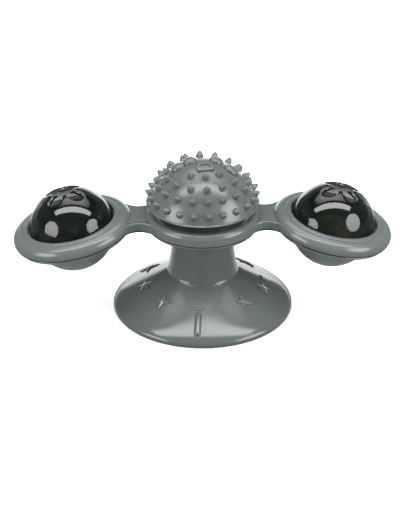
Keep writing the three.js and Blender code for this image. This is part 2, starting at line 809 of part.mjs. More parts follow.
function buttonCell(i) {
  const pitch = CELL_THICKNESS + SEAT;
  const disc = new THREE.CylinderGeometry(CELL_RADIUS, CELL_RADIUS, CELL_THICKNESS, COARSE);
  disc.rotateZ(Math.PI / 2).translate((i - (CELLS - 1) / 2) * pitch, 0, cellCentre);
  return piece(`button_cell_${i + 1}`, solid(disc), CELL_STEEL);
}

function ledLamp() {
  const bottom = boardTop + SEAT;
  const shoulder = bottom + LAMP_HEIGHT - LAMP_RADIUS;
  const profile = [
    [0, bottom],
    [LAMP_RADIUS + LAMP_FOOT, bottom],
    [LAMP_RADIUS + LAMP_FOOT, bottom + 2 * LAMP_FOOT],
    [LAMP_RADIUS, bottom + 2 * LAMP_FOOT],
    ...arc(0, shoulder, LAMP_RADIUS, 0, 90, 4),
  ];
  return piece("led_lamp", revolve(onAxis(profile), SMALL), LAMP_LENS);
}

function vibrationSwitch() {
  const can = new THREE.CylinderGeometry(SWITCH_RADIUS, SWITCH_RADIUS, SWITCH_LENGTH, SMALL);
  can.rotateZ(Math.PI / 2).translate(0, SWITCH_OFFSET, boardTop + SEAT + SWITCH_RADIUS);
  return piece("vibration_switch", solid(can), STEEL);
}

function catnipBall() {
  const ball = new THREE.SphereGeometry(CATNIP_RADIUS, COARSE, COARSE);
  ball.rotateX(Math.PI / 2).translate(0, 0, CATNIP_RADIUS + GAP - ballInner);
  return piece("catnip_ball", solid(ball), HERB);
}

// A ball in its pod. Each rests turned a little towards the front middle.
function ballInPod(side, ...pieces) {
  const turned = new THREE.Group().add(...pieces);
  turned.rotation.z = -side * BALL_TURN;
  const pod = new THREE.Group().add(turned);
  pod.position.set(side * podX, 0, podZ);
  pod.rotation.y = side * POD_TILT;
  return pod;
}

// Brush dome

// A point of the egg at an angle from its axis, moved inwards by an inset: [radius, height].
function eggPoint(polar, inset) {
  const angle = THREE.MathUtils.degToRad(polar);
  const across = DOME_RADIUS - inset;
  const upwards = DOME_HALF_HEIGHT - inset;
  const reach = 1 / Math.hypot(Math.sin(angle) / across, Math.cos(angle) / upwards);
  return [reach * Math.sin(angle), eggCentre + reach * Math.cos(angle)];
}

function eggRadius(height, inset) {
  return (DOME_RADIUS - inset) * Math.sqrt(1 - ((height - eggCentre) / (DOME_HALF_HEIGHT - inset)) ** 2);
}

// The egg's outline from a height up to the axis.
function eggOutline(height, inset, steps) {
  const start = THREE.MathUtils.radToDeg(Math.atan2(eggRadius(height, inset), height - eggCentre));
  return onAxis(Array.from({ length: steps + 1 }, (_, i) => eggPoint(start * (1 - i / steps), inset)));
}

const plateRadius = eggRadius(plateTop, DOME_WALL) - GAP;

// The frame of a spot on the dome: x runs round it, y down it and z straight out.
function onDome(angle, polar) {
  const [radius, height] = eggPoint(polar, 0);
  const turn = THREE.MathUtils.degToRad(angle);
  const out = new THREE.Vector3(Math.sin(turn), -Math.cos(turn), 0);
  const slope = Math.atan2((height - eggCentre) / DOME_HALF_HEIGHT ** 2, radius / DOME_RADIUS ** 2);
  const normal = out.clone().multiplyScalar(Math.cos(slope)).setZ(Math.sin(slope));
  const round = new THREE.Vector3(Math.cos(turn), Math.sin(turn), 0);
  const down = new THREE.Vector3().crossVectors(normal, round);
  return new THREE.Matrix4().makeBasis(round, down, normal).setPosition(out.x * radius, out.y * radius, height);
}

function spike(place) {
  const profile = [
    [0, -SPIKE_FOOT / 2],
    [SPIKE_FOOT, -SPIKE_FOOT / 2],
    [SPIKE_TIP, SPIKE_HEIGHT - SPIKE_TIP],
    [0, SPIKE_HEIGHT],
  ];
  return solid(revolveGeometry(profile, SPIKE_SIDES).applyMatrix4(place));
}

function pawPad({ angle, polar, across, along }) {
  const pad = new THREE.SphereGeometry(1, SMALL, SMALL).scale(across, along, PAW_HEIGHT);
  return solid(pad.applyMatrix4(onDome(angle, polar)));
}

// Where the spikes stand, leaving out those that a paw pad takes the place of.
function spikePlaces() {
  const pads = PAW_PADS.map((pad) => ({
    ...pad,
    spot: new THREE.Vector3().setFromMatrixPosition(onDome(pad.angle, pad.polar)),
  }));
  const places = SPIKE_RINGS.flatMap(({ count, polar }) =>
    Array.from({ length: count }, (_, i) => onDome(SPIKE_TURN + (360 * i) / count, polar)),
  );
  return places.filter((place) => {
    const foot = new THREE.Vector3().setFromMatrixPosition(place);
    const clear = ({ spot, across, along }) => foot.distanceTo(spot) > Math.max(across, along) + SPIKE_FOOT;
    return pads.every(clear);
  });
}

function brushDome() {
  const lipInner = plateRadius - DOME_LIP;
  const lipTop = domeRimZ + DOME_LIP_THICKNESS;
  const body = revolve(
    [
      [lipInner, domeRimZ],
      [DOME_RIM_RADIUS, domeRimZ],
      [DOME_RIM_RADIUS, domeRimZ + DOME_RIM_HEIGHT / 3],
      ...eggOutline(domeRimZ + DOME_RIM_HEIGHT, 0, 5),
      ...eggOutline(lipTop, DOME_WALL, 5).reverse(),
      [lipInner, lipTop],
    ],
    MEDIUM,
  );
  const whole = join(body, ...spikePlaces().map(spike), ...PAW_PADS.map(pawPad));
  return piece("brush_dome", whole, GREY_BRUSH);
}

// A rib of the carrier, whose outer edge follows the inside of the dome.
function carrierRib(i) {
  const inset = DOME_WALL + GAP;
  const root = plateTop - CARRIER_THICKNESS / 2;
  const top = plateTop + CARRIER_RIB_TOP;
  const edge = [0, 0.5, 1].map((share) => {
    const height = plateTop + share * (top - plateTop);
    return new THREE.Vector2(eggRadius(height, inset) - GAP, height);
  });
  const shape = new THREE.Shape([
    new THREE.Vector2(CARRIER_BOSS_RADIUS - SEAT, root),
    new THREE.Vector2(edge[0].x - GAP, root),
    ...edge,
    new THREE.Vector2(CARRIER_BOSS_RADIUS - SEAT, carrierBossTop - GAP),
  ]);
  const geometry = new THREE.ExtrudeGeometry(shape, { depth: CARRIER_RIB_THICKNESS, bevelEnabled: false });
  geometry.translate(0, 0, -CARRIER_RIB_THICKNESS / 2).rotateX(Math.PI / 2);
  return solid(geometry.rotateZ(((i + 0.5) / CARRIER_RIBS) * 2 * Math.PI));
}

function brushCarrier() {
  const bore = SCREW_RADIUS + RUN;
  const body = revolve(
    [
      [bore, carrierBottom],
      [CARRIER_NECK, carrierBottom],
      [CARRIER_NECK, plateBottom - CARRIER_FLARE],
      [CARRIER_NECK + CARRIER_FLARE, plateBottom],
      [plateRadius, plateBottom],
      [plateRadius, plateTop],
      [CARRIER_BOSS_RADIUS, plateTop],
      [CARRIER_BOSS_RADIUS, carrierBossTop],
      [bore, carrierBossTop],
    ],
    MEDIUM,
  );
  const ribs = Array.from({ length: CARRIER_RIBS }, (_, i) => carrierRib(i));
  return piece("brush_carrier", join(body, ...ribs), BLACK_CARRIER);
}

// The whole toy
const toy = new THREE.Group();
toy.add(
  suctionCup(),
  stemCore(),
  washer("thrust_washer", THRUST_WASHER_RADIUS, POST_RADIUS + RUN, thrustWasherBottom, WHITE_NYLON),
  washer("spacer_washer", SPACER_RADIUS, SCREW_RADIUS + RUN, spacerBottom, WHITE_NYLON),
  washer("retaining_washer", RETAINER_RADIUS, SCREW_RADIUS + RUN, retainerBottom, STEEL),
  axleScrew(),
);
toy.add(hubBush(), rotorUpperShell(), rotorLowerShell(), ...screws.map(shellScrew));
toy.add(brushCarrier(), brushDome());
toy.add(
  ballInPod(
    -1,
    ballBase("light_ball_base"),
    ballCover("light_ball_cover"),
    ledCaseLower(),
    ledCaseUpper(),
    ledBoard(),
    ...Array.from({ length: CELLS }, (_, i) => buttonCell(i)),
    ledLamp(),
    vibrationSwitch(),
  ),
  ballInPod(1, ballBase("catnip_ball_base"), ballCover("catnip_ball_cover"), catnipBall()),
);

export default toy;
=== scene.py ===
"""Looks of a window spinner cat toy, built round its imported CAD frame.

Each visible moulding is modelled again with fine curves in the place of its CAD node.
Lengths are millimetres until metres() or MM turns them into metres, which the stage is in.
"""

import json
import math

import bpy
from mathutils import Matrix, Vector


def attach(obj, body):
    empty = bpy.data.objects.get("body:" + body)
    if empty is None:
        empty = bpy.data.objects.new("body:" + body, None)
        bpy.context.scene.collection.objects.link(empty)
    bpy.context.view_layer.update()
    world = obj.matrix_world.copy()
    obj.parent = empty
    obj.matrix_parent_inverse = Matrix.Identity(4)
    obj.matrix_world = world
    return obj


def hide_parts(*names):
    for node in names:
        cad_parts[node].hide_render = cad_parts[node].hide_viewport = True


bl_info = {
    "name": "Window Spinner Toy",
    "version": (1, 0, 0),
    "blender": (4, 5, 0),
    "location": "3D View > Sidebar > Spinner Toy",
    "description": "Models and dresses a suction-cup spinner toy round its CAD frame",
    "category": "Object",
}

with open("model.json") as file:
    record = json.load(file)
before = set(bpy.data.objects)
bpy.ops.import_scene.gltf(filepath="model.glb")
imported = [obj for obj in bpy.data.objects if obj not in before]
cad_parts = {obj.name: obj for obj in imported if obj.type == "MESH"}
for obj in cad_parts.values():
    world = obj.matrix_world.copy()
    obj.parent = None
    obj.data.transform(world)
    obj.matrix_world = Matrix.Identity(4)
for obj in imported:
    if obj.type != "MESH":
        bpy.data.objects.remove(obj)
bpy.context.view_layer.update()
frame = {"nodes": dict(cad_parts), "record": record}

MM = 0.001
POD_X = 71.914  # from the toy's axis to the middle of a ball
POD_Z = 49.6  # height of a ball's middle
POD_TILT = math.radians(11.6)  # how far a ring leans outwards
BALL_TURN = math.radians(10)  # how far a ball is turned in its ring
ROUND = 128  # steps round a large turned piece
HALF_ROUND = 64  # and round a smaller one
WELD = 0.002 * MM  # points nearer than this become one
SMOOTH_ANGLE = math.radians(32)


def metres(values):
    return [value * MM for value in values]


# Sizes and colours that a user would change


class SpinnerSizes(bpy.types.PropertyGroup):
    """Sizes of added details, and the camera's distance."""

    spike_height: bpy.props.FloatProperty(
        name="Spike Height",
        description="Height of a spike over the dome",
        default=3.6 * MM,
        unit="LENGTH",
    )
    spike_foot: bpy.props.FloatProperty(
        name="Spike Foot",
        description="Radius of a spike at the dome's surface",
        default=2.2 * MM,
        unit="LENGTH",
    )
    figure_relief: bpy.props.FloatProperty(
        name="Figure Relief",
        description="How far the stars and moons stand out of the cup",
        default=0.45 * MM,
        unit="LENGTH",
    )
    camera_distance: bpy.props.FloatProperty(
        name="Camera Distance",
        description="From the camera to the middle of the toy",
        default=1285 * MM,
        unit="LENGTH",
    )


def colour_property(label, text, value):
    return bpy.props.FloatVectorProperty(
        name=label, description=text, default=value, size=3, min=0, max=1, subtype="COLOR"
    )


class SpinnerColours(bpy.types.PropertyGroup):
    """Base colours of the finishes, in linear light."""

    soft: colour_property("Soft Grey", "Suction cup and stem", (0.088, 0.103, 0.101))
    shell: colour_property("Shell Grey", "Spinner shells and ball bowls", (0.112, 0.13, 0.129))
    brush: colour_property("Brush Grey", "Spiky dome", (0.101, 0.117, 0.116))
    smoke: colour_property("Smoke", "Upper halves of the balls", (0.005, 0.0075, 0.0068))
    herb: colour_property("Herb", "Pressed catnip", (0.34, 0.29, 0.11))
    herb_dark: colour_property("Herb Shade", "Stalks and gaps in the catnip", (0.12, 0.1, 0.04))
    nylon: colour_property("Nylon", "Bush, washers and core", (0.75, 0.73, 0.68))
    carrier: colour_property("Carrier Black", "Plate that carries the dome", (0.018, 0.02, 0.021))
    lamp_case: colour_property("Lamp Case", "Case of the lamp unit", (0.03, 0.033, 0.03))
    lens: colour_property("Lamp Lens", "Lens of the lamp", (0.65, 0.7, 0.2))
    board: colour_property("Board Green", "Circuit board", (0.03, 0.15, 0.05))
    steel: colour_property("Steel", "Screws, washer, cells and switch", (0.6, 0.61, 0.62))


def sizes():
    return bpy.context.scene.spinner_sizes


def colours():
    return bpy.context.scene.spinner_colours


# Shader maths


class Term:
    """A socket in a shader expression, so that maths on it adds Math nodes."""

    def __init__(self, shader, socket):
        self.shader = shader
        self.socket = socket

    def _math(self, operation, first, second):
        return self.shader.node("ShaderNodeMath", {"operation": operation}, {0: first, 1: second})

    def __add__(self, other):
        return self._math("ADD", self, other)

    def __sub__(self, other):
        return self._math("SUBTRACT", self, other)

    def __rsub__(self, other):
        return self._math("SUBTRACT", other, self)

    def __abs__(self):
        return self.shader.node("ShaderNodeMath", {"operation": "ABSOLUTE"}, {0: self})

    def __mul__(self, other):
        return self._math("MULTIPLY", self, other)


class Shader:
    """Nodes of one material or of the world."""

    def __init__(self, owner):
        owner.use_nodes = True
        self.tree = owner.node_tree
        self.tree.nodes.clear()

    def node(self, kind, settings=None, inputs=None, output=0):
        """Adds a node and returns its output as a Term. Settings go first, then inputs."""
        made = self.tree.nodes.new(kind)
        for name, value in (settings or {}).items():
            setattr(made, name, value)
        for name, value in (inputs or {}).items():
            if isinstance(value, Term):
                self.tree.links.new(value.socket, made.inputs[name])
            else:
                made.inputs[name].default_value = value
        return Term(self, made.outputs[output]) if made.outputs else None

    def coordinates(self):
        return self.node("ShaderNodeTexCoord", output="Object")

    def place(self, axis):
        """One of the object's own coordinates."""
        return self.node("ShaderNodeSeparateXYZ", inputs={0: self.coordinates()}, output=axis)

    def noise(self, scale, detail, roughness):
        inputs = {"Scale": scale, "Detail": detail, "Roughness": roughness}
        return self.node("ShaderNodeTexNoise", inputs={"Vector": self.coordinates(), **inputs})

    def ramp(self, factor, low, high):
        """Rises from black at the low value to white at the high one."""
        rise = self.node("ShaderNodeValToRGB", inputs={"Fac": factor})
        black, white = rise.socket.node.color_ramp.elements
        black.position, white.position = low, high
        return rise

    def mix(self, factor, first, second):
        inputs = {"Factor": factor, 6: first, 7: second}
        return self.node("ShaderNodeMix", {"data_type": "RGBA"}, inputs, output=2)

    def bump(self, height, strength, distance):
        inputs = {"Height": height, "Strength": strength, "Distance": distance}
        return self.node("ShaderNodeBump", inputs=inputs)

    def emission(self, strength):
        return self.node("ShaderNodeEmission", inputs={"Color": (1, 1, 1, 1), "Strength": strength})

    def show(self, shaded):
        self.node("ShaderNodeOutputMaterial", inputs={"Surface": shaded})

    def surface(self, inputs):
        self.show(self.node("ShaderNodeBsdfPrincipled", inputs=inputs))


def shade(colour, factor):
    return (*(min(1.0, channel * factor) for channel in colour), 1)


def material(name):
    made = bpy.data.materials.new(name)
    return made, Shader(made)


def moulded(name, colour, roughness, grain=0.05):
    """A moulded plastic or rubber: faint flow marks, a slightly uneven gloss and a fine grain."""
    made, shader = material(name)
    flow = shader.ramp(shader.noise(28, 3.0, 0.55), 0.35, 0.68)
    cloud = shader.noise(150, 4.0, 0.6)
    fine = shader.noise(2600, 2.0, 0.5)
    shader.surface(
        {
            "Base Color": shader.mix(flow * 0.8, shade(colour, 0.965), shade(colour, 1.04)),
            "Roughness": cloud * 0.1 + (roughness - 0.05),
            "Normal": shader.bump(fine * 0.6 + cloud, grain, 0.0003),
        }
    )
    return made


def smoky(name, colour):
    """Polished dark smoky plastic that the inside of a ball shows through."""
    made, shader = material(name)
    haze = shader.noise(70, 3.0, 0.5)
    depth = shader.ramp(shader.place(2) * 10, 0.52, 0.67)
    shader.surface(
        {
            "Base Color": (*colour, 1),
            "Roughness": haze * 0.02 + 0.01,
            "IOR": 1.55,
            "Specular IOR Level": 0.62,
            "Alpha": depth * 0.45 + 0.42,
            "Normal": shader.bump(haze, 0.02, 0.0004),
        }
    )
    return made


def lamp_plastic(name, colour, alpha, roughness):
    made, shader = material(name)
    cloud = shader.noise(300, 3.0, 0.5)
    shader.surface(
        {
            "Base Color": shader.mix(cloud, shade(colour, 0.9), shade(colour, 1.1)),
            "Roughness": cloud * 0.08 + roughness,
            "Alpha": alpha,
        }
    )
    return made


def pressed_herb(name, colour, shadow):
    """Dried leaves and stalks pressed into a ball."""
    made, shader = material(name)
    leaves = {"Vector": shader.coordinates(), "Scale": 520.0}
    leaf = shader.node("ShaderNodeTexVoronoi", inputs=leaves)
    tints = shader.node("ShaderNodeTexVoronoi", inputs=leaves, output="Color")
    tone = shader.node("ShaderNodeSeparateColor", inputs={0: tints})
    crumbs = shader.noise(900, 5.0, 0.65)
    mottled = shader.mix(tone, (*shadow, 1), (*colour, 1))
    pale = shader.ramp(crumbs, 0.56, 0.7)
    shader.surface(
        {
            "Base Color": shader.mix(pale * 0.6, mottled, shade(colour, 1.9)),
            "Roughness": crumbs * 0.15 + 0.8,
            "Normal": shader.bump(leaf * 0.7 + crumbs, 0.9, 0.0009),
        }
    )
    return made


def turned_metal(name, colour, roughness):
    made, shader = material(name)
    rings = shader.noise(1500, 3.0, 0.6)
    shader.surface(
        {
            "Base Color": shader.mix(rings, shade(colour, 0.85), shade(colour, 1.05)),
            "Metallic": 1.0,
            "Roughness": rings * 0.15 + roughness,
            "Normal": shader.bump(rings, 0.08, 0.0002),
        }
    )
    return made


FINISHES = {}


def finish(name):
    """The finish for one of the record's material slots, made once."""
    if name not in FINISHES:
        palette = colours()
        maker, *values = {
            "soft_grey": (moulded, palette.soft, 0.15, 0.02),
            "shell_grey": (moulded, palette.shell, 0.21, 0.01),
            "brush_grey": (moulded, palette.brush, 0.21, 0.02),
            "smoke_clear": (smoky, palette.smoke),
            "herb": (pressed_herb, palette.herb, palette.herb_dark),
            "nylon": (moulded, palette.nylon, 0.45),
            "carrier_black": (moulded, palette.carrier, 0.5),
            "frosted": (lamp_plastic, palette.lamp_case, 0.8, 0.2),
            "lamp_lens": (lamp_plastic, palette.lens, 0.95, 0.08),
            "board": (moulded, palette.board, 0.4),
            "steel": (turned_metal, palette.steel, 0.25),
            "cell_steel": (turned_metal, palette.steel, 0.18),
        }[name]
        FINISHES[name] = maker(name, *values)
    return FINISHES[name]


# Modelling by hand, in code


def deselect():
    if bpy.context.object and bpy.context.object.mode != "OBJECT":
        bpy.ops.object.mode_set(mode="OBJECT")
    bpy.ops.object.select_all(action="DESELECT")


def activate(piece):
    deselect()
    piece.select_set(True)
    bpy.context.view_layer.objects.active = piece


def edit(piece, kind, test):
    """Goes into edit mode with the EDGEs or FACEs that pass the test selected."""
    activate(piece)
    bpy.ops.object.mode_set(mode="EDIT")
    bpy.ops.mesh.select_mode(type=kind)
    bpy.ops.mesh.select_all(action="DESELECT")
    bpy.ops.object.mode_set(mode="OBJECT")
    for item in piece.data.edges if kind == "EDGE" else piece.data.polygons:
        item.select = test(item)
    bpy.ops.object.mode_set(mode="EDIT")


def leave(smooth=SMOOTH_ANGLE):
    """Leaves edit mode, and shades edges flatter than the angle as smooth."""
    bpy.ops.object.mode_set(mode="OBJECT")
    bpy.ops.object.shade_smooth_by_angle(angle=smooth)


def chain(name, points, closed):
    """A run of edges through points, extruded one after the other from a single vertex."""
    deselect()
    first = Vector(metres(points[0]))
    bpy.ops.mesh.primitive_plane_add(size=MM, location=first)
    piece = bpy.context.object
    piece.name = piece.data.name = name
    bpy.ops.object.transform_apply(location=True, rotation=True, scale=True)
    bpy.ops.object.mode_set(mode="EDIT")
    bpy.ops.mesh.select_mode(type="VERT")
    bpy.ops.mesh.select_all(action="SELECT")
    bpy.ops.mesh.merge(type="CENTER")
    last = first
    for point in points[1:] + ([points[0]] if closed else []):
        here = Vector(metres(point))
        bpy.ops.mesh.extrude_region_move(TRANSFORM_OT_translate={"value": here - last})
        last = here
    bpy.ops.mesh.select_all(action="SELECT")
    bpy.ops.mesh.remove_doubles(threshold=WELD)
    return piece


def lathe(name, profile, steps=ROUND):
    """Spins a profile of (radius, height) points round Z. A profile off the axis is a loop."""
    off_axis = profile[0][0] > 0 or profile[-1][0] > 0
    piece = chain(name, [(r, 0, z) for r, z in profile], off_axis)
    bpy.ops.mesh.spin(steps=steps, angle=2 * math.pi, center=(0, 0, 0), axis=(0, 0, 1))
    bpy.ops.mesh.select_all(action="SELECT")
    bpy.ops.mesh.remove_doubles(threshold=WELD)
    bpy.ops.mesh.normals_make_consistent(inside=False)
    leave()
    return piece


def slab(name, outline, bottom, top, bevel=0.0, segments=3):
    """A flat outline raised to a slab, with its level edges rounded."""
    piece = chain(name, [(x, y, bottom) for x, y in outline], True)
    bpy.ops.mesh.edge_face_add()
    bpy.ops.mesh.extrude_region_move(TRANSFORM_OT_translate={"value": (0, 0, (top - bottom) * MM)})
    bpy.ops.mesh.select_all(action="SELECT")
    bpy.ops.mesh.normals_make_consistent(inside=False)
    if bevel:

        def level(edge):
            first, second = [piece.data.vertices[i].co.z for i in edge.vertices]
            return abs(first - second) < 0.01 * MM

        edit(piece, "EDGE", level)
        bpy.ops.mesh.bevel(offset=bevel * MM, segments=segments, profile=0.5)
    leave()
    return piece


def drum(name, radius, bottom, top, steps=HALF_ROUND):
    """A round cutter."""
    deselect()
    bpy.ops.mesh.primitive_cylinder_add(
        vertices=steps,
        radius=radius * MM,
        depth=(top - bottom) * MM,
        location=(0, 0, (top + bottom) / 2 * MM),
    )
    piece = bpy.context.object
    piece.name = piece.data.name = name
    bpy.ops.object.transform_apply(location=True, rotation=True, scale=True)
    return piece


def place(piece, location=(0, 0, 0), tilt=0.0, turn=0.0):
    """Turns a piece about Z, then tilts it about Y, then moves it."""
    turned = Matrix.Rotation(tilt, 4, "Y") @ Matrix.Rotation(turn, 4, "Z")
    return put(piece, Matrix.Translation(metres(location)) @ turned)


def put(piece, matrix):
    """Carries a piece by a matrix, given in metres, and applies it to its mesh."""
    activate(piece)
    piece.matrix_world = matrix
    bpy.ops.object.transform_apply(location=True, rotation=True, scale=True)
    return piece


def in_pod(piece, side, turned=False):
    """Carries a piece into the left (-1) or right (1) ring, turned as the ball there is or not."""
    turn = -side * BALL_TURN if turned else 0.0
    return place(piece, (side * POD_X, 0, POD_Z), side * POD_TILT, turn)


def copies(piece, matrices):
    """Copies of a modelled piece, each with its own mesh. The first model is used up."""
    made = []
    for matrix in matrices:
        copy = piece.copy()
        copy.data = piece.data.copy()
        bpy.context.scene.collection.objects.link(copy)
        made.append(put(copy, matrix))
    bpy.data.objects.remove(piece)
    return made


def gather(pieces):
    """Joins pieces into the first one's object."""
    deselect()
    for piece in pieces:
        piece.select_set(True)
    bpy.context.view_layer.objects.active = pieces[0]
    bpy.ops.object.join()
    return pieces[0]


def combine(piece, tool, operation):
    """Adds a tool to a piece, or cuts it away, and takes the tool out of the scene."""
    activate(piece)
    modifier = piece.modifiers.new("combine", "BOOLEAN")
    modifier.operation = operation
    modifier.solver = "MANIFOLD"
    modifier.object = tool
    bpy.ops.object.modifier_apply(modifier=modifier.name)
    if not piece.data.polygons:
        raise RuntimeError(f"{piece.name} vanished when {tool.name} was combined")
    bpy.data.objects.remove(tool)


def join(piece, *tools):
    for tool in tools:
        combine(piece, tool, "UNION")


def cut(piece, *tools):
    for tool in tools:
        combine(piece, tool, "DIFFERENCE")
    return piece


def arc(centre, height, radius, start, end, steps):
    """Points of an arc in a profile. Angles in degrees, 0 outwards and 90 up."""
    angles = [math.radians(start + (end - start) * i / steps) for i in range(steps + 1)]
    return [(centre + radius * math.cos(a), height + radius * math.sin(a)) for a in angles]


def on_axis(profile):
    """Sets radii that are zero but for rounding to zero."""
    return [(0.0 if abs(r) < 1e-6 else r, z) for r, z in profile]


def curve(points, steps):
    """A cubic Bezier curve through four points of a profile."""
    a, b, c, d = [Vector(point) for point in points]
    path = []
    for i in range(steps + 1):
        t = i / steps
        s = 1 - t
        point = s**3 * a + 3 * s * s * t * b + 3 * s * t * t * c + t**3 * d
        path.append((point.x, point.y))
    return path


def rounded(corners, radius, steps=5):
    """An outline whose corners are rounded."""
    rim = []
    for i, corner in enumerate(corners):
        middle = Vector(corner)
        back = (Vector(corners[i - 1]) - middle).normalized()
        ahead = (Vector(corners[(i + 1) % len(corners)]) - middle).normalized()
        reach = radius / math.tan(back.angle(ahead) / 2)
        for step in range(steps + 1):
            t = step / steps
            point = middle + back * reach * (1 - t) ** 2 + ahead * reach * t * t
            rim.append((point.x, point.y))
    return rim


def dress(piece, slot, body, *nodes):
    """Gives a finished piece its finish and body, and hides the CAD nodes that it stands in for."""
    activate(piece)
    bpy.ops.object.shade_smooth_by_angle(angle=SMOOTH_ANGLE)
    piece.data.materials.clear()
    piece.data.materials.append(finish(slot))
    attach(piece, body)
    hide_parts(*nodes)


# Suction cup

RIM_RADIUS = 50.0
RIM_HEIGHT = 2.4
SLOPE_END = (20.4, 22.3)
STEM_FOOT = (19.25, 24.4)
STEM_TOP = 49.0
CUP_STEPS = 160
RELEASE_RIB = (-5.6, 40.6)  # degrees to the right of the front, distance from the axis


def slope(steps):
    """The cup's upper side in profile, from the rim to the foot of the stem."""
    return curve([(RIM_RADIUS, RIM_HEIGHT), (48.0, 7.3), (27.6, 17.1), SLOPE_END], steps)


def on_slope(angle, radius, lift):
    """The frame of a spot on the cup: x runs round it, y up the slope and z straight out.

    The angle is in degrees to the right of the front, and the lift in metres.
    """
    steps = 200
    path = slope(steps)
    near = min(range(1, steps), key=lambda i: abs(path[i][0] - radius))
    (r0, z0), (r1, z1) = path[near - 1], path[near + 1]
    down = Vector((r0 - r1, 0, z0 - z1)).normalized()
    normal = Vector((-down.z, 0, down.x))
    axes = Matrix((Vector((0, 1, 0)), -down, normal)).transposed().to_4x4()
    spot = Vector(metres((path[near][0], 0, path[near][1]))) + normal * lift
    turn = Matrix.Rotation(math.radians(angle - 90), 4, "Z")
    return turn @ Matrix.Translation(spot) @ axes


def star(points, outer, inner):
    rim = []
    for i in range(2 * points):
        radius = inner if i % 2 else outer
        angle = math.pi / 2 + math.pi * i / points
        rim.append((radius * math.cos(angle), radius * math.sin(angle)))
    return rim


def moon(radius, bite, steps=14):
    """A crescent that opens upwards. The bite is the share of its depth that is taken out."""
    rim = arc(0, 0, radius, 200, 340, steps)
    inner = [(x, y * (1 - bite) - 0.25 * radius * bite) for x, y in rim[1:-1]]
    return rim + inner[::-1]


def figure(name, outline, peak):
    """A figure with an upright side all round and a top that rises to its middle."""
    piece = slab(name, outline, -1.6, 0.0)
    if peak:
        edit(piece, "FACE", lambda face: face.normal.z > 0.9 and face.center.z > -0.1 * MM)
        bpy.ops.mesh.poke(offset=peak * MM)
        leave(math.radians(10))
    return piece


# Kind, degrees to the right of the front, distance from the axis
FIGURES = (
    ("moon", -5.4, 30.6),
    ("star5", 42.6, 32.5),
    ("star4", -45.4, 32.2),
    ("star5", -81, 32.5),
    ("star4", -120, 34.0),
    ("star5", 75.6, 34.4),
    ("moon", 93.6, 31.5),
    ("star4", 128.6, 31.5),
    ("moon", -160, 31.0),
    ("star5", 172, 31.5),
)


def cup_figures():
    kinds = {  # Outline, rise to the middle, turn
        "moon": (moon(3.3, 0.5), 0.0, 0.0),
        "star5": (star(5, 5.2, 2.2), 0.6, 0.0),
        "star4": (star(4, 6.4, 1.9), 0.6, 0.25),
    }
    lift = sizes().figure_relief
    made = []
    for kind, angle, radius in FIGURES:
        outline, peak, turn = kinds[kind]
        spot = on_slope(angle, radius, lift) @ Matrix.Rotation(turn, 4, "Z")
        made.append(put(figure("figure", outline, peak), spot))
    return gather(made)


def release_rib():
    """A round bar down the slope to the rim, sunk a little under its middle."""
    length, radius = 15.2, 2.1
    profile = on_axis(arc(0, 0, radius, -90, 0, 8) + arc(0, length - 2 * radius, radius, 0, 90, 8))
    bar = lathe("release_rib", profile, 32)
    place(bar, (0, 0, -(length / 2 - radius)))
    place(bar, tilt=math.pi / 2)
    return put(bar, on_slope(*RELEASE_RIB, -0.9 * MM) @ Matrix.Rotation(math.pi / 2, 4, "Z"))


class TOY_OT_suction_cup(bpy.types.Operator):
    """Soft suction cup and stem in one moulding, with its release rib and small raised figures."""

    bl_idname = "toy.suction_cup"
    bl_label = "Suction Cup"

    def execute(self, context):
        cavity = curve([(46.9, 0), (43.1, 6.07), (15.9, 18.4), (0, 18.4)], 28)
        profile = on_axis(cavity[::-1])
        profile += [(48.6, 0), (49.6, 0.25), (RIM_RADIUS, 0.9)]
        profile += slope(44)
        profile += curve([SLOPE_END, (19.7, 22.75), (19.4, 23.2), STEM_FOOT], 6)[1:]
        profile += curve([STEM_FOOT, (18.6, 28.0), (17.6, 34.0), (17.0, 47.2)], 12)[1:]
        profile += arc(15.9, STEM_TOP - 1.1, 1.1, 0, 90, 5) + [(0, STEM_TOP)]
        cup = lathe("cup_and_stem", profile, CUP_STEPS)
        join(cup, release_rib(), cup_figures())
        dress(cup, "soft_grey", "base", "suction_cup")
        return {"FINISHED"}


# Spinner shells

HUB_RADIUS = 31.4
HUB_BASE = 50.3
HUB_BASE_RADIUS = 30.7
HUB_SCREWS = 21.0  # radius of the circle that the hub's screws stand on
BUSH_BORE = 7.55
COLLAR = 9.5  # round the bore in the dish, and again under the dome
PARTING = 52.5
CREST = 59.6
CREST_ROUND = 3.4
DISH = 57.2  # height of the sunken floor under the dome
ARM_BASE = 51.3
ARM_TOP = 57.3
ARM_BEVEL = 0.75
ARM_SCREW = 35.2  # from the toy's axis to an arm's screw
FILLET = 8.7  # between the sides of an arm and the hub or ring
SEAM = 0.7  # what is left open under the parting line
BAND_ROUND = 0.9  # round the lower edges of hub and rings
WALL = 1.9
POCKET = 2.4  # radius of a screw's pocket
POCKET_DEPTH = 1.65

# Rings, from the middle of the ball
LIP = 24.5
LIP_TOP = 4.85
LIP_ROUND = 0.55
RING = 33.6
TUBE = 4.95  # radius of a ring's round upper side
TUBE_CENTRE = RING - TUBE
TUBE_HEIGHT = -0.4
RING_PARTING = -2.0
BAND_BOTTOM = -5.1
GROOVE = 26.1  # the groove that holds the flange runs from here out to GROOVE_WALL
GROOVE_WALL = 27.6
RING_SPACE = 32.2  # radius of what is cut out of an arm for the ring's band
BALL_SPACE = 29.5  # and for the ball
SPACE_BOTTOM = -16


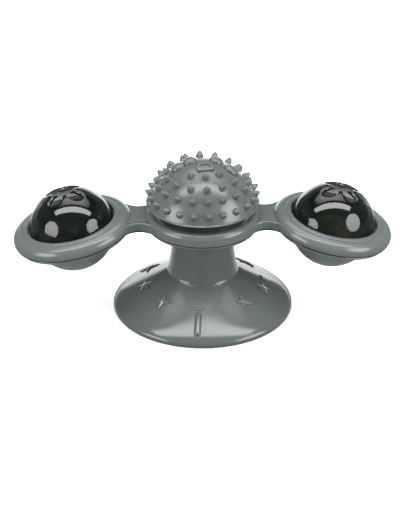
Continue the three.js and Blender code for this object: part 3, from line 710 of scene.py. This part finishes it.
def arm_outline(side, outset=0.0, root=2.5):
    """An arm from above: fillets that touch hub and ring, and roots that reach into both.

    An outset widens the arm.
    """
    hub = HUB_RADIUS + FILLET
    pod = RING * math.cos(POD_TILT) + FILLET
    x = (hub**2 - pod**2 + POD_X**2) / (2 * POD_X)
    y = math.sqrt(hub**2 - x**2)
    start, end = [math.degrees(math.atan2(-y, across)) for across in (-x, POD_X - x)]
    rim = arc(x, y, FILLET - outset, start, end, 28)
    rim = [(rim[0][0] - root, rim[0][1])] + rim + [(rim[-1][0] + root, rim[-1][1])]
    rim += [(px, -py) for px, py in reversed(rim)]
    return [(side * px, py) for px, py in rim]


def ring_arc(inset, end, steps):
    """A ring's round side in profile, from the parting line up to an angle in degrees."""
    radius = TUBE - inset
    start = math.degrees(math.asin((RING_PARTING - TUBE_HEIGHT) / radius))
    return arc(TUBE_CENTRE, TUBE_HEIGHT, radius, start, end, steps)


def top_ring(side):
    """The rounded upper ring of a pod: lip, flat land with a crease, and the round outer side."""
    under = ring_arc(WALL, 100, 8)
    profile = [(LIP, 1.1)] + arc(LIP + LIP_ROUND, LIP_TOP - LIP_ROUND, LIP_ROUND, 180, 90, 5)
    crease = ((27.0, 0), (27.25, 0.1), (27.5, 0.42), (27.75, 0.32))
    profile += [(radius, LIP_TOP - depth) for radius, depth in crease]
    profile += ring_arc(0, 97, 18)[::-1] + under
    profile += [(26.25, under[-1][1]), (26.25, 1.1)]
    return in_pod(lathe("top_ring", profile), side)


def band_ring(side):
    """The plain band under the parting line, with the groove that the ball's flange turns in."""
    outer = ring_arc(0, 0, 1)[0][0] - 0.5
    inner = outer - WALL
    profile = [(LIP, BAND_BOTTOM + 0.3), (LIP + 0.3, BAND_BOTTOM)]
    profile += arc(30.9, BAND_BOTTOM + BAND_ROUND, BAND_ROUND, -90, -20, 5)
    profile += [(outer, RING_PARTING - 1.15), (outer - 0.15, RING_PARTING - 0.95)]
    profile += [(inner, RING_PARTING - 1.1), (inner, BAND_BOTTOM + WALL)]
    profile += [(GROOVE_WALL, BAND_BOTTOM + WALL), (GROOVE_WALL, 0.8), (GROOVE, 0.8)]
    profile += [(GROOVE, -1.1), (LIP, -1.1)]
    return in_pod(lathe("band_ring", profile), side)


def pod_space(side, radius, top):
    """A cutter for what a ring or its ball takes up of an arm."""
    return in_pod(drum("pod_space", radius, SPACE_BOTTOM, top), side)


class TOY_OT_spinner_shells(bpy.types.Operator):
    """Upper and lower shells of the two-armed spinner, with the seam between them."""

    bl_idname = "toy.spinner_shells"
    bl_label = "Spinner Shells"

    def execute(self, context):
        self.upper()
        self.lower()
        return {"FINISHED"}

    def upper(self):
        hub = lathe("spinner_top", self.hub_profile())
        for side in (-1, 1):
            arm = slab("arm", arm_outline(side), ARM_BASE, ARM_TOP, ARM_BEVEL)
            cut(arm, drum("below", POD_X, ARM_BASE - 4, PARTING, 32))
            cut(arm, pod_space(side, RING_SPACE, RING_PARTING), pod_space(side, BALL_SPACE, 3))
            groove = slab("groove", arm_outline(side, -1.15), ARM_TOP - 0.4, ARM_TOP + 1)
            cut(groove, slab("land", arm_outline(side, -1.7, 4.0), ARM_TOP - 1, ARM_TOP + 2))
            cut(arm, groove)
            join(hub, arm)
        for side in (-1, 1):
            join(hub, top_ring(side))
        dress(hub, "shell_grey", "rotor", "rotor_upper_shell")

    def hub_profile(self):
        inner = HUB_RADIUS - WALL
        collar = [(BUSH_BORE, 53.9), (BUSH_BORE, 58.6), (9.2, 58.6), (COLLAR, 58.3), (COLLAR, DISH)]
        dish = curve([(24.4, DISH), (25.8, DISH), (26.2, 58.5), (27.2, 59.3)], 6)
        crest = arc(HUB_RADIUS - CREST_ROUND, CREST - CREST_ROUND, CREST_ROUND, 103, 0, 14)
        wall = [(HUB_RADIUS, 54.4), (HUB_RADIUS - 0.12, PARTING + 0.2)]
        foot = [(HUB_RADIUS - 0.35, PARTING), (inner, PARTING)]
        under = [(inner, DISH - WALL), (COLLAR, DISH - WALL), (COLLAR, 53.9)]
        return collar + dish + crest + wall + foot + under

    def lower(self):
        top = PARTING - SEAM
        profile = [(BUSH_BORE, 52.0), (10.0, 52.0), (10.0, HUB_BASE)]
        profile += arc(HUB_BASE_RADIUS - BAND_ROUND, HUB_BASE + BAND_ROUND, BAND_ROUND, -90, 0, 5)
        profile += [(HUB_BASE_RADIUS, top), (11.9, top), (11.9, 53.5), (BUSH_BORE, 53.5)]
        hub = lathe("spinner_base", profile)
        for side in (-1, 1):
            arm = slab("arm_base", arm_outline(side, -0.35), ARM_BASE, ARM_TOP, ARM_BEVEL)
            cut(arm, drum("above", POD_X, top, top + 8, 32), pod_space(side, BALL_SPACE, 12))
            join(hub, arm)
        for side in (-1, 1):
            join(hub, band_ring(side))
        for _, x, y, base, ledge in screw_places():
            cut(hub, place(drum("pocket", POCKET, base - 1, ledge), (x, y, 0)))
        dress(hub, "shell_grey", "rotor", "rotor_lower_shell")


def screw_places():
    """Name, place, underside of the shell and floor of the pocket for each shell screw."""
    spots = []
    for i in range(4):
        angle = math.radians(45 + 90 * i)
        x, y = HUB_SCREWS * math.cos(angle), HUB_SCREWS * math.sin(angle)
        spots.append((f"hub_screw_{i + 1}", x, y, HUB_BASE))
    spots.append(("arm_screw_left", -ARM_SCREW, 0.0, ARM_BASE))
    spots.append(("arm_screw_right", ARM_SCREW, 0.0, ARM_BASE))
    return [(*spot, spot[3] + POCKET_DEPTH) for spot in spots]


class TOY_OT_shell_screws(bpy.types.Operator):
    """Countersunk cross-head screws that close the shells from below."""

    bl_idname = "toy.shell_screws"
    bl_label = "Shell Screws"

    def execute(self, context):
        profile = [(0, -1.2), (1.3, -1.2), (1.75, -1.1), (2.05, -0.75), (2.1, -0.1), (1.95, 0)]
        for i in range(6):
            profile += [(1.05, 0.35 + 0.5 * i), (0.82, 0.6 + 0.5 * i)]
        profile += [(0.8, 3.4), (0, 3.75)]
        screw = lathe("shell_screw", profile, 32)
        cross = [(-1.2, -0.28), (1.2, -0.28), (1.2, 0.28), (-1.2, 0.28)]
        for turn in (0, math.pi / 2):
            cut(screw, place(slab("slot", cross, -1.5, -0.55), turn=turn))
        places = screw_places()
        spots = [Matrix.Translation(metres((x, y, ledge - 0.15))) for _, x, y, _, ledge in places]
        for piece, (name, *_) in zip(copies(screw, spots), places):
            piece.name = piece.data.name = name + "_detail"
            dress(piece, "steel", "rotor", name)
        return {"FINISHED"}


# Balls

BALL = 23.65
BALL_INNER = 21.45
BALLS = (  # Side, kind, body of the bowl, body of the cover
    (-1, "light", "light_ball", "light_cover"),
    (1, "catnip", "catnip_ball_holder", "catnip_cover"),
)
FLANGE = 25.8
SPIGOT = 21.15  # outside of the cover's ring that stands in the bowl
SPIGOT_INNER = 19.65
SPIGOT_BOTTOM = -1.65
MOUTH = ((3.7, 0.0), (2.9, 5.8), (3.2, 8.9))  # radius of each round hole, distance from the middle
EDGE = 3.6  # radius of the dished edge of an opening
FUNNEL = 26  # degrees that it bends through
CASE = 13.2  # radius of the lamp unit's case
CASE_INNER = 12.0
CASE_SEAM = -5.63
HERB = 12.75
HERB_CENTRE = -8.15
CRUMB = 2.2
CRUMB_RELIEF = 0.6


class TOY_OT_ball_halves(bpy.types.Operator):
    """Grey bowls and smoky domes of both balls, with the four-lobed opening in each dome."""

    bl_idname = "toy.ball_halves"
    bl_label = "Ball Halves"

    def execute(self, context):
        for side, kind, body, cover in BALLS:
            bowl = self.bowl(f"{kind}_bowl")
            dress(in_pod(bowl, side, True), "shell_grey", body, f"{kind}_ball_base")
            dome = self.dome(f"{kind}_dome")
            dress(in_pod(dome, side, True), "smoke_clear", cover, f"{kind}_ball_cover")
        return {"FINISHED"}

    def bowl(self, name):
        profile = arc(0, 0, BALL_INNER, -90, 0, 24) + [(BALL_INNER, 0.8), (FLANGE - 0.2, 0.8)]
        profile += [(FLANGE, 0.6), (FLANGE, -0.6), (FLANGE - 0.2, -0.8)]
        profile += arc(0, 0, BALL, -2, -90, 28)
        return lathe(name, on_axis(profile))

    def dome(self, name):
        low, chamfer = SPIGOT_BOTTOM, 0.2
        profile = arc(0, 0, BALL, 90, 3.2, 40) + [(23.45, 0.95), (SPIGOT, 0.95)]
        profile += [(SPIGOT, low + chamfer), (SPIGOT - chamfer, low), (SPIGOT_INNER + chamfer, low)]
        profile += [(SPIGOT_INNER, low + chamfer), (SPIGOT_INNER, 2.4)]
        profile += arc(0, 0, BALL_INNER, 10.5, 90, 36)
        dome = lathe(name, on_axis(profile))
        (centre, _), *lobes = MOUTH
        mouth = self.flared(centre)
        for radius, distance in lobes:
            lean = Matrix.Rotation(math.asin(distance / BALL), 4, "Y")
            for i in range(4):
                turn = Matrix.Rotation(math.radians(45 + 90 * i), 4, "Z")
                join(mouth, put(self.flared(radius), turn @ lean))
        return cut(dome, mouth)

    def flared(self, radius):
        """A round cutter that widens softly to the ball's surface, for the dished edge."""
        bend = math.radians(FUNNEL)
        reach = radius + 0.9 + EDGE * math.sin(bend)
        lean = math.asin(reach / BALL)
        middle = Vector((math.sin(lean), math.cos(lean))) * (BALL - EDGE + 0.02)
        end = 90 - math.degrees(lean)
        flare = arc(middle.x, middle.y, EDGE, end + FUNNEL, end, 7)
        cone = flare[0][1] - (flare[0][0] - radius) * math.tan(bend - lean)
        profile = [(0, 12), (radius, 12), (radius, cone - 0.25)]
        profile += flare + [(flare[-1][0] + 0.02, 28), (0, 28)]
        return lathe("flared", profile, 72)


class TOY_OT_ball_contents(bpy.types.Operator):
    """The pressed catnip ball, and the case and lens of the lamp unit."""

    bl_idname = "toy.ball_contents"
    bl_label = "Ball Contents"

    def execute(self, context):
        self.catnip()
        for name, profile, slot, node in (
            ("lamp_case_bottom", self.case_bottom(), "frosted", "led_case_lower"),
            ("lamp_case_top", self.case_top(), "frosted", "led_case_upper"),
            ("lamp_lens_cap", self.lens(), "lamp_lens", "led_lamp"),
        ):
            piece = lathe(name, on_axis(profile), HALF_ROUND)
            dress(in_pod(piece, -1, True), slot, "light_ball", node)
        return {"FINISHED"}

    def case_bottom(self):
        profile = [(0, -16.5), (CASE - 0.8, -16.5), (CASE, -15.7), (CASE, CASE_SEAM - 0.15)]
        profile += [(CASE_INNER, CASE_SEAM - 0.15), (CASE_INNER, -7.3)]
        return profile + [(10.8, -7.3), (10.8, -15.3), (0, -15.3)]

    def case_top(self):
        foot = CASE_SEAM + 1.2
        outside = [(x * CASE, foot + y * 7.8) for x, y in arc(0, 0, 1, 90, 0, 20)]
        inside = [(x * CASE_INNER, foot + y * 6.6) for x, y in arc(0, 0, 1, 0, 90, 20)]
        return outside + [(CASE, CASE_SEAM), (CASE_INNER, CASE_SEAM)] + inside

    def lens(self):
        profile = [(0, -5.6), (2.85, -5.6), (2.85, -4.8), (2.5, -4.7)]
        return profile + arc(0, -2.7, 2.5, 0, 90, 10)

    def catnip(self):
        """An icosphere whose points are pushed in and out, as crumbs of leaf."""
        deselect()
        bpy.ops.mesh.primitive_ico_sphere_add(
            subdivisions=6, radius=HERB * MM, location=(0, 0, HERB_CENTRE * MM)
        )
        piece = bpy.context.object
        piece.name = piece.data.name = "pressed_catnip"
        bpy.ops.object.transform_apply(location=True, rotation=True, scale=True)
        texture = bpy.data.textures.new("crumbs", "CLOUDS")
        texture.noise_scale = CRUMB * MM
        texture.noise_depth = 3
        rough = piece.modifiers.new("crumbs", "DISPLACE")
        rough.texture = texture
        rough.strength = CRUMB_RELIEF * MM
        rough.mid_level = 0.6
        bpy.ops.object.modifier_apply(modifier=rough.name)
        dress(in_pod(piece, 1, True), "herb", "catnip_ball_holder", "catnip_ball")


# Brush

EGG_RADIUS = 32.05  # the dome is the top of an ellipsoid
EGG_HALF = 35.6
EGG_CENTRE = 53.3
RIM_Z = 64.6
RIM_INNER = 24.8
SPIKE_RINGS = ((22, 60.0), (18, 46.5), (14, 35.0), (10, 22.0))  # spikes, degrees from the top
SPIKE_TURN = 4.9  # degrees that all rings are turned by
SPIKE_SINK = -0.28  # where a spike starts under the dome's surface, as a share of its height
SPIKE_SHAPE = (  # Shares of the foot's radius and of the height
    (1.0, SPIKE_SINK),
    (1.0, 0.0),
    (0.92, 0.18),
    (0.8, 0.38),
    (0.65, 0.58),
    (0.48, 0.75),
    (0.3, 0.89),
    (0.13, 0.972),
    (0.0, 1.0),
)
PAW_CLEARANCE = 5.8  # no spike stands nearer to the middle of a toe or of the pad
TOES = (  # Degrees to the right of the front, degrees from the top, half width, half length
    (-110, 12.4, 3.9, 4.1),
    (111, 12.9, 3.9, 4.1),
    (-90, 22.7, 3.7, 4.2),
    (83, 26.5, 3.8, 4.3),
)
TOE_HEIGHT = 2.6
PAD = (10, 9.7)
PAD_CORNERS = ((-3.1, 3.9), (-5.0, -0.4), (-4.4, -3.0), (4.4, -3.0), (5.0, -0.4), (3.1, 3.9))


def egg_point(polar, inset=0.0):
    """A point of the dome's profile, at an angle in degrees from the top."""
    angle = math.radians(polar)
    across, upwards = EGG_RADIUS - inset, EGG_HALF - inset
    reach = 1 / math.hypot(math.sin(angle) / across, math.cos(angle) / upwards)
    return reach * math.sin(angle), EGG_CENTRE + reach * math.cos(angle)


def egg_outline(height, inset, steps):
    """The dome's profile from a height up to the top."""
    radius = (EGG_RADIUS - inset) * math.sqrt(1 - ((height - EGG_CENTRE) / (EGG_HALF - inset)) ** 2)
    start = math.degrees(math.atan2(radius, height - EGG_CENTRE))
    return on_axis([egg_point(start * (1 - i / steps), inset) for i in range(steps + 1)])


def on_dome(angle, polar):
    """The frame of a spot on the dome: x runs round it, y up it and z straight out."""
    radius, height = egg_point(polar)
    lean = math.atan2((height - EGG_CENTRE) / EGG_HALF**2, radius / EGG_RADIUS**2)
    turn = Matrix.Rotation(math.radians(angle - 90), 4, "Z")
    spot = Matrix.Translation(metres((radius, 0, height)))
    tilt = Matrix.Rotation(math.pi / 2 - lean, 4, "Y")
    return turn @ spot @ tilt @ Matrix.Rotation(math.pi / 2, 4, "Z")


class TOY_OT_brush(bpy.types.Operator):
    """Soft dome with rings of spikes and a raised paw, and the black plate that carries it."""

    bl_idname = "toy.brush"
    bl_label = "Brush"

    def execute(self, context):
        rim = ((RIM_INNER, 0), (30.9, 0), (31.2, 0.15), (31.25, 0.4), (31.0, 0.65))
        profile = [(radius, RIM_Z + rise) for radius, rise in rim]
        profile += egg_outline(RIM_Z + 0.9, 0, 46)
        profile += egg_outline(RIM_Z + 1.3, 2.4, 24)[::-1]
        profile += [(RIM_INNER, RIM_Z + 1.3)]
        dome = lathe("spiky_dome", profile)
        join(dome, self.spikes(), self.toes(), self.pad())
        dress(dome, "brush_grey", "brush", "brush_dome")
        self.carrier()
        return {"FINISHED"}

    def spikes(self):
        """Rings of bullet-shaped spikes, with none where the paw is."""
        tall, foot = sizes().spike_height / MM, sizes().spike_foot / MM
        profile = [(0, SPIKE_SINK * tall)] + [(foot * r, tall * z) for r, z in SPIKE_SHAPE]
        spike = lathe("spike", profile, 16)
        paw = [on_dome(angle, polar).translation for angle, polar, *_ in TOES]
        paw.append(on_dome(*PAD).translation)
        spots = []
        for count, polar in SPIKE_RINGS:
            for i in range(count):
                spot = on_dome(SPIKE_TURN + 360 * i / count, polar)
                if all((spot.translation - mark).length > PAW_CLEARANCE * MM for mark in paw):
                    spots.append(spot)
        return gather(copies(spike, spots))

    def toes(self):
        made = []
        for angle, polar, across, along in TOES:
            deselect()
            bpy.ops.mesh.primitive_uv_sphere_add(segments=40, ring_count=20, radius=MM)
            toe = bpy.context.object
            bpy.ops.object.mode_set(mode="EDIT")
            bpy.ops.transform.resize(value=(across, along, TOE_HEIGHT))
            bpy.ops.object.mode_set(mode="OBJECT")
            made.append(put(toe, on_dome(angle, polar)))
        return gather(made)

    def pad(self):
        """The paw's large pad, with a shallow plain recess."""
        rim = rounded(PAD_CORNERS, 1.1)
        pad = slab("pad", rim, -1.6, 1.1, 0.45, 4)
        hollow = slab("hollow", [(x * 0.66, y * 0.5 + 0.1) for x, y in rim], 0.45, 2.4)
        cut(pad, hollow)
        return put(pad, on_dome(*PAD))

    def carrier(self):
        bore, plate, boss = 2.25, 26.1, 6.4
        profile = [(bore, 60.8), (9.2, 60.8), (COLLAR, 61.1)]
        profile += curve([(COLLAR, 62.1), (9.6, 64.6), (11.0, 66.0), (13.5, 66.1)], 8)
        profile += [(plate, 66.1), (plate, 68.0), (boss, 68.1), (boss, 71.4), (bore, 71.4)]
        dress(lathe("dome_carrier", profile), "carrier_black", "brush", "brush_carrier")


# CAD nodes that keep their own shape


class TOY_OT_inner_parts(bpy.types.Operator):
    """Finishes on the CAD parts inside the toy that keep their own shape."""

    bl_idname = "toy.inner_parts"
    bl_label = "Inner Parts"

    def execute(self, context):
        slots = {row["node"]: row["material_slot"] for row in frame["record"]["subparts"]}
        for name, node in frame["nodes"].items():
            node.data.materials.clear()
            node.data.materials.append(finish(slots[name]))
        return {"FINISHED"}


# Stage, in metres and degrees

FLOOR_SIZE = 8
FLOOR_DROP = 0.0002  # how far the floor lies under the cup's rim
AIM = (0, 0, 0.05)  # what the softboxes face
SOFTBOXES = (  # Name, degrees to the right of the front, degrees up, distance, radius, strength
    ("softbox_left", -61, 10, 0.9, 0.32, 7.0),
    ("softbox_right", 60, 17, 0.9, 0.34, 7.0),
)
CAMERA_UP = 28.5
CAMERA_RIGHT = -1.88
CAMERA_TARGET = (-0.0001, 0, 0.0306)
CAMERA_LENS = 162


class TOY_OT_stage(bpy.types.Operator):
    """Pale floor, softboxes, white surroundings and the camera."""

    bl_idname = "toy.stage"
    bl_label = "Stage"

    def execute(self, context):
        self.floor()
        for row in SOFTBOXES:
            self.softbox(*row)
        self.overhead()
        self.backdrop()
        self.surroundings(context.scene)
        self.camera(context.scene)
        context.scene.view_settings.view_transform = "Standard"
        return {"FINISHED"}

    def floor(self):
        deselect()
        bpy.ops.mesh.primitive_plane_add(size=FLOOR_SIZE, location=(0, 0, -FLOOR_DROP))
        floor = bpy.context.object
        floor.name = "floor"
        made, shader = material("floor_white")
        mirrored = shader.node("ShaderNodeLightPath", output="Is Glossy Ray")
        plain, dim = self.floor_seen(shader), self.floor_reflected(shader)
        shader.show(shader.node("ShaderNodeMixShader", inputs={0: mirrored, 1: plain, 2: dim}))
        made.cycles.emission_sampling = "NONE"
        floor.data.materials.append(made)

    def floor_seen(self, shader):
        """White with a faint glow for the camera, and a duller floor for the light it throws up."""
        seen = shader.node("ShaderNodeLightPath", output="Is Camera Ray")
        white = shader.node("ShaderNodeBsdfDiffuse", inputs={"Color": (0.86, 0.86, 0.86, 1)})
        glow = shader.emission(seen * 0.5)
        both = shader.node("ShaderNodeAddShader", inputs={0: white, 1: glow})
        bounce = shader.node("ShaderNodeBsdfDiffuse", inputs={"Color": (0.36, 0.36, 0.35, 1)})
        return shader.node("ShaderNodeMixShader", inputs={0: seen, 1: bounce, 2: both})

    def floor_reflected(self, shader):
        """What glossy pieces mirror: a dim floor, bright far behind and a little at the sides."""
        x, y = abs(shader.place(0)), shader.place(1)
        behind = shader.ramp(y, 0.02, 0.08) * (1 - shader.ramp(x - y * 0.35, 0.09, 0.14))
        aside = shader.ramp(x, 0.035, 0.06) * (1 - shader.ramp(x, 0.085, 0.12))
        aside = aside * (1 - shader.ramp(y, 0.0, 0.03))
        far = shader.ramp(y, 0.08, 0.9) * 1.1 + 1.5
        return shader.emission(behind * far + aside * 0.25 + 0.26)

    def lit(self, piece, strength):
        """Makes a piece glow. The strength is a number, or a function of the piece's shader."""
        made, shader = material(piece.name + "_light")
        if callable(strength):
            strength = strength(shader)
        shader.show(shader.emission(strength))
        piece.data.materials.append(made)
        piece.visible_camera = False

    def softbox(self, name, azimuth, height, distance, radius, strength):
        """An eight-sided softbox that faces the toy."""
        deselect()
        turn, rise = math.radians(azimuth), math.radians(height)
        level = math.cos(rise)
        out = Vector((math.sin(turn) * level, -math.cos(turn) * level, math.sin(rise)))
        bpy.ops.mesh.primitive_circle_add(vertices=8, radius=radius, fill_type="NGON")
        box = bpy.context.object
        box.name = name
        box.rotation_euler = out.to_track_quat("Z", "Y").to_euler()
        box.location = Vector(AIM) + out * distance
        self.lit(box, strength)

    def panel(self, name, location, size, strength, turn=(0, 0, 0)):
        """A flat glowing panel. Its place and size are applied, so its shader is in metres."""
        deselect()
        bpy.ops.mesh.primitive_plane_add(size=1)
        box = bpy.context.object
        box.name = name
        box.scale = (*size, 1)
        box.rotation_euler = turn
        box.location = location
        bpy.ops.object.transform_apply(location=True, rotation=True, scale=True)
        self.lit(box, strength)

    def overhead(self):
        """A long softbox above, a little in front of the toy, and a dimmer ceiling behind it."""
        self.panel("softbox_top", (0, -0.195, 0.95), (1.8, 0.27), 8.0)
        self.panel("ceiling", (0, 0.57, 0.96), (2.2, 1.04), self.ceiling_glow)

    def ceiling_glow(self, shader):
        """Brightest behind the toy's middle, and faded out all round."""
        across = shader.place(0) * 0.75
        along = shader.place(1) - 0.34
        return (1 - shader.ramp(across * across + along * along, 0.0, 0.3)) * 3.4

    def backdrop(self):
        """A bright low wall far behind, which the far edges pick up."""
        upright = (math.pi / 2, 0, 0)
        self.panel("backdrop", (0, 2.2, 0.4), (1.9, 0.8), self.backdrop_glow, upright)

    def backdrop_glow(self, shader):
        """Brightest at the foot."""
        return (1 - shader.ramp(shader.place(2), 0.2, 0.7)) * 2.5 + 0.3

    def surroundings(self, scene):
        """A white world to look at, which lights the toy far less."""
        world = bpy.data.worlds.new("surroundings")
        scene.world = world
        shader = Shader(world)
        seen = shader.node("ShaderNodeLightPath", output="Is Camera Ray")
        mirrored = shader.node("ShaderNodeLightPath", output="Is Glossy Ray")
        strength = seen + (1 - seen) * (mirrored * 0.12 + (1 - mirrored) * 0.3)
        inputs = {"Color": (1, 1, 1, 1), "Strength": strength}
        background = shader.node("ShaderNodeBackground", inputs=inputs)
        shader.node("ShaderNodeOutputWorld", inputs={"Surface": background})

    def camera(self, scene):
        rise = math.radians(CAMERA_UP)
        turn = Matrix.Rotation(math.radians(CAMERA_RIGHT), 4, "Z")
        target = turn @ Vector(CAMERA_TARGET)
        back = turn @ Vector((0, -math.cos(rise), math.sin(rise)))
        bpy.ops.object.camera_add(location=target + back * sizes().camera_distance)
        camera = bpy.context.object
        camera.rotation_euler = back.to_track_quat("Z", "Y").to_euler()
        camera.data.lens = CAMERA_LENS
        camera.data.sensor_width = 36
        camera.data.clip_end = 50
        scene.camera = camera


class TOY_PT_panel(bpy.types.Panel):
    """Sidebar panel that lists the toy's pieces."""

    bl_idname = "TOY_PT_panel"
    bl_label = "Spinner Toy"
    bl_space_type = "VIEW_3D"
    bl_region_type = "UI"
    bl_category = "Spinner Toy"

    def draw(self, context):
        column = self.layout.column()
        for group in (context.scene.spinner_sizes, context.scene.spinner_colours):
            for name in group.__annotations__:
                column.prop(group, name)
        for operator in OPERATORS:
            column.operator(operator.bl_idname)


OPERATORS = (
    TOY_OT_stage,
    TOY_OT_inner_parts,
    TOY_OT_suction_cup,
    TOY_OT_spinner_shells,
    TOY_OT_shell_screws,
    TOY_OT_ball_halves,
    TOY_OT_ball_contents,
    TOY_OT_brush,
)
CLASSES = (SpinnerSizes, SpinnerColours, *OPERATORS, TOY_PT_panel)


def register():
    for cls in CLASSES:
        bpy.utils.register_class(cls)
    bpy.types.Scene.spinner_sizes = bpy.props.PointerProperty(type=SpinnerSizes)
    bpy.types.Scene.spinner_colours = bpy.props.PointerProperty(type=SpinnerColours)


def unregister():
    del bpy.types.Scene.spinner_colours
    del bpy.types.Scene.spinner_sizes
    for cls in reversed(CLASSES):
        bpy.utils.unregister_class(cls)


def main():
    register()
    for operator in OPERATORS:
        group, name = operator.bl_idname.split(".")
        getattr(getattr(bpy.ops, group), name)()
    deselect()


if __name__ == "__main__":
    main()
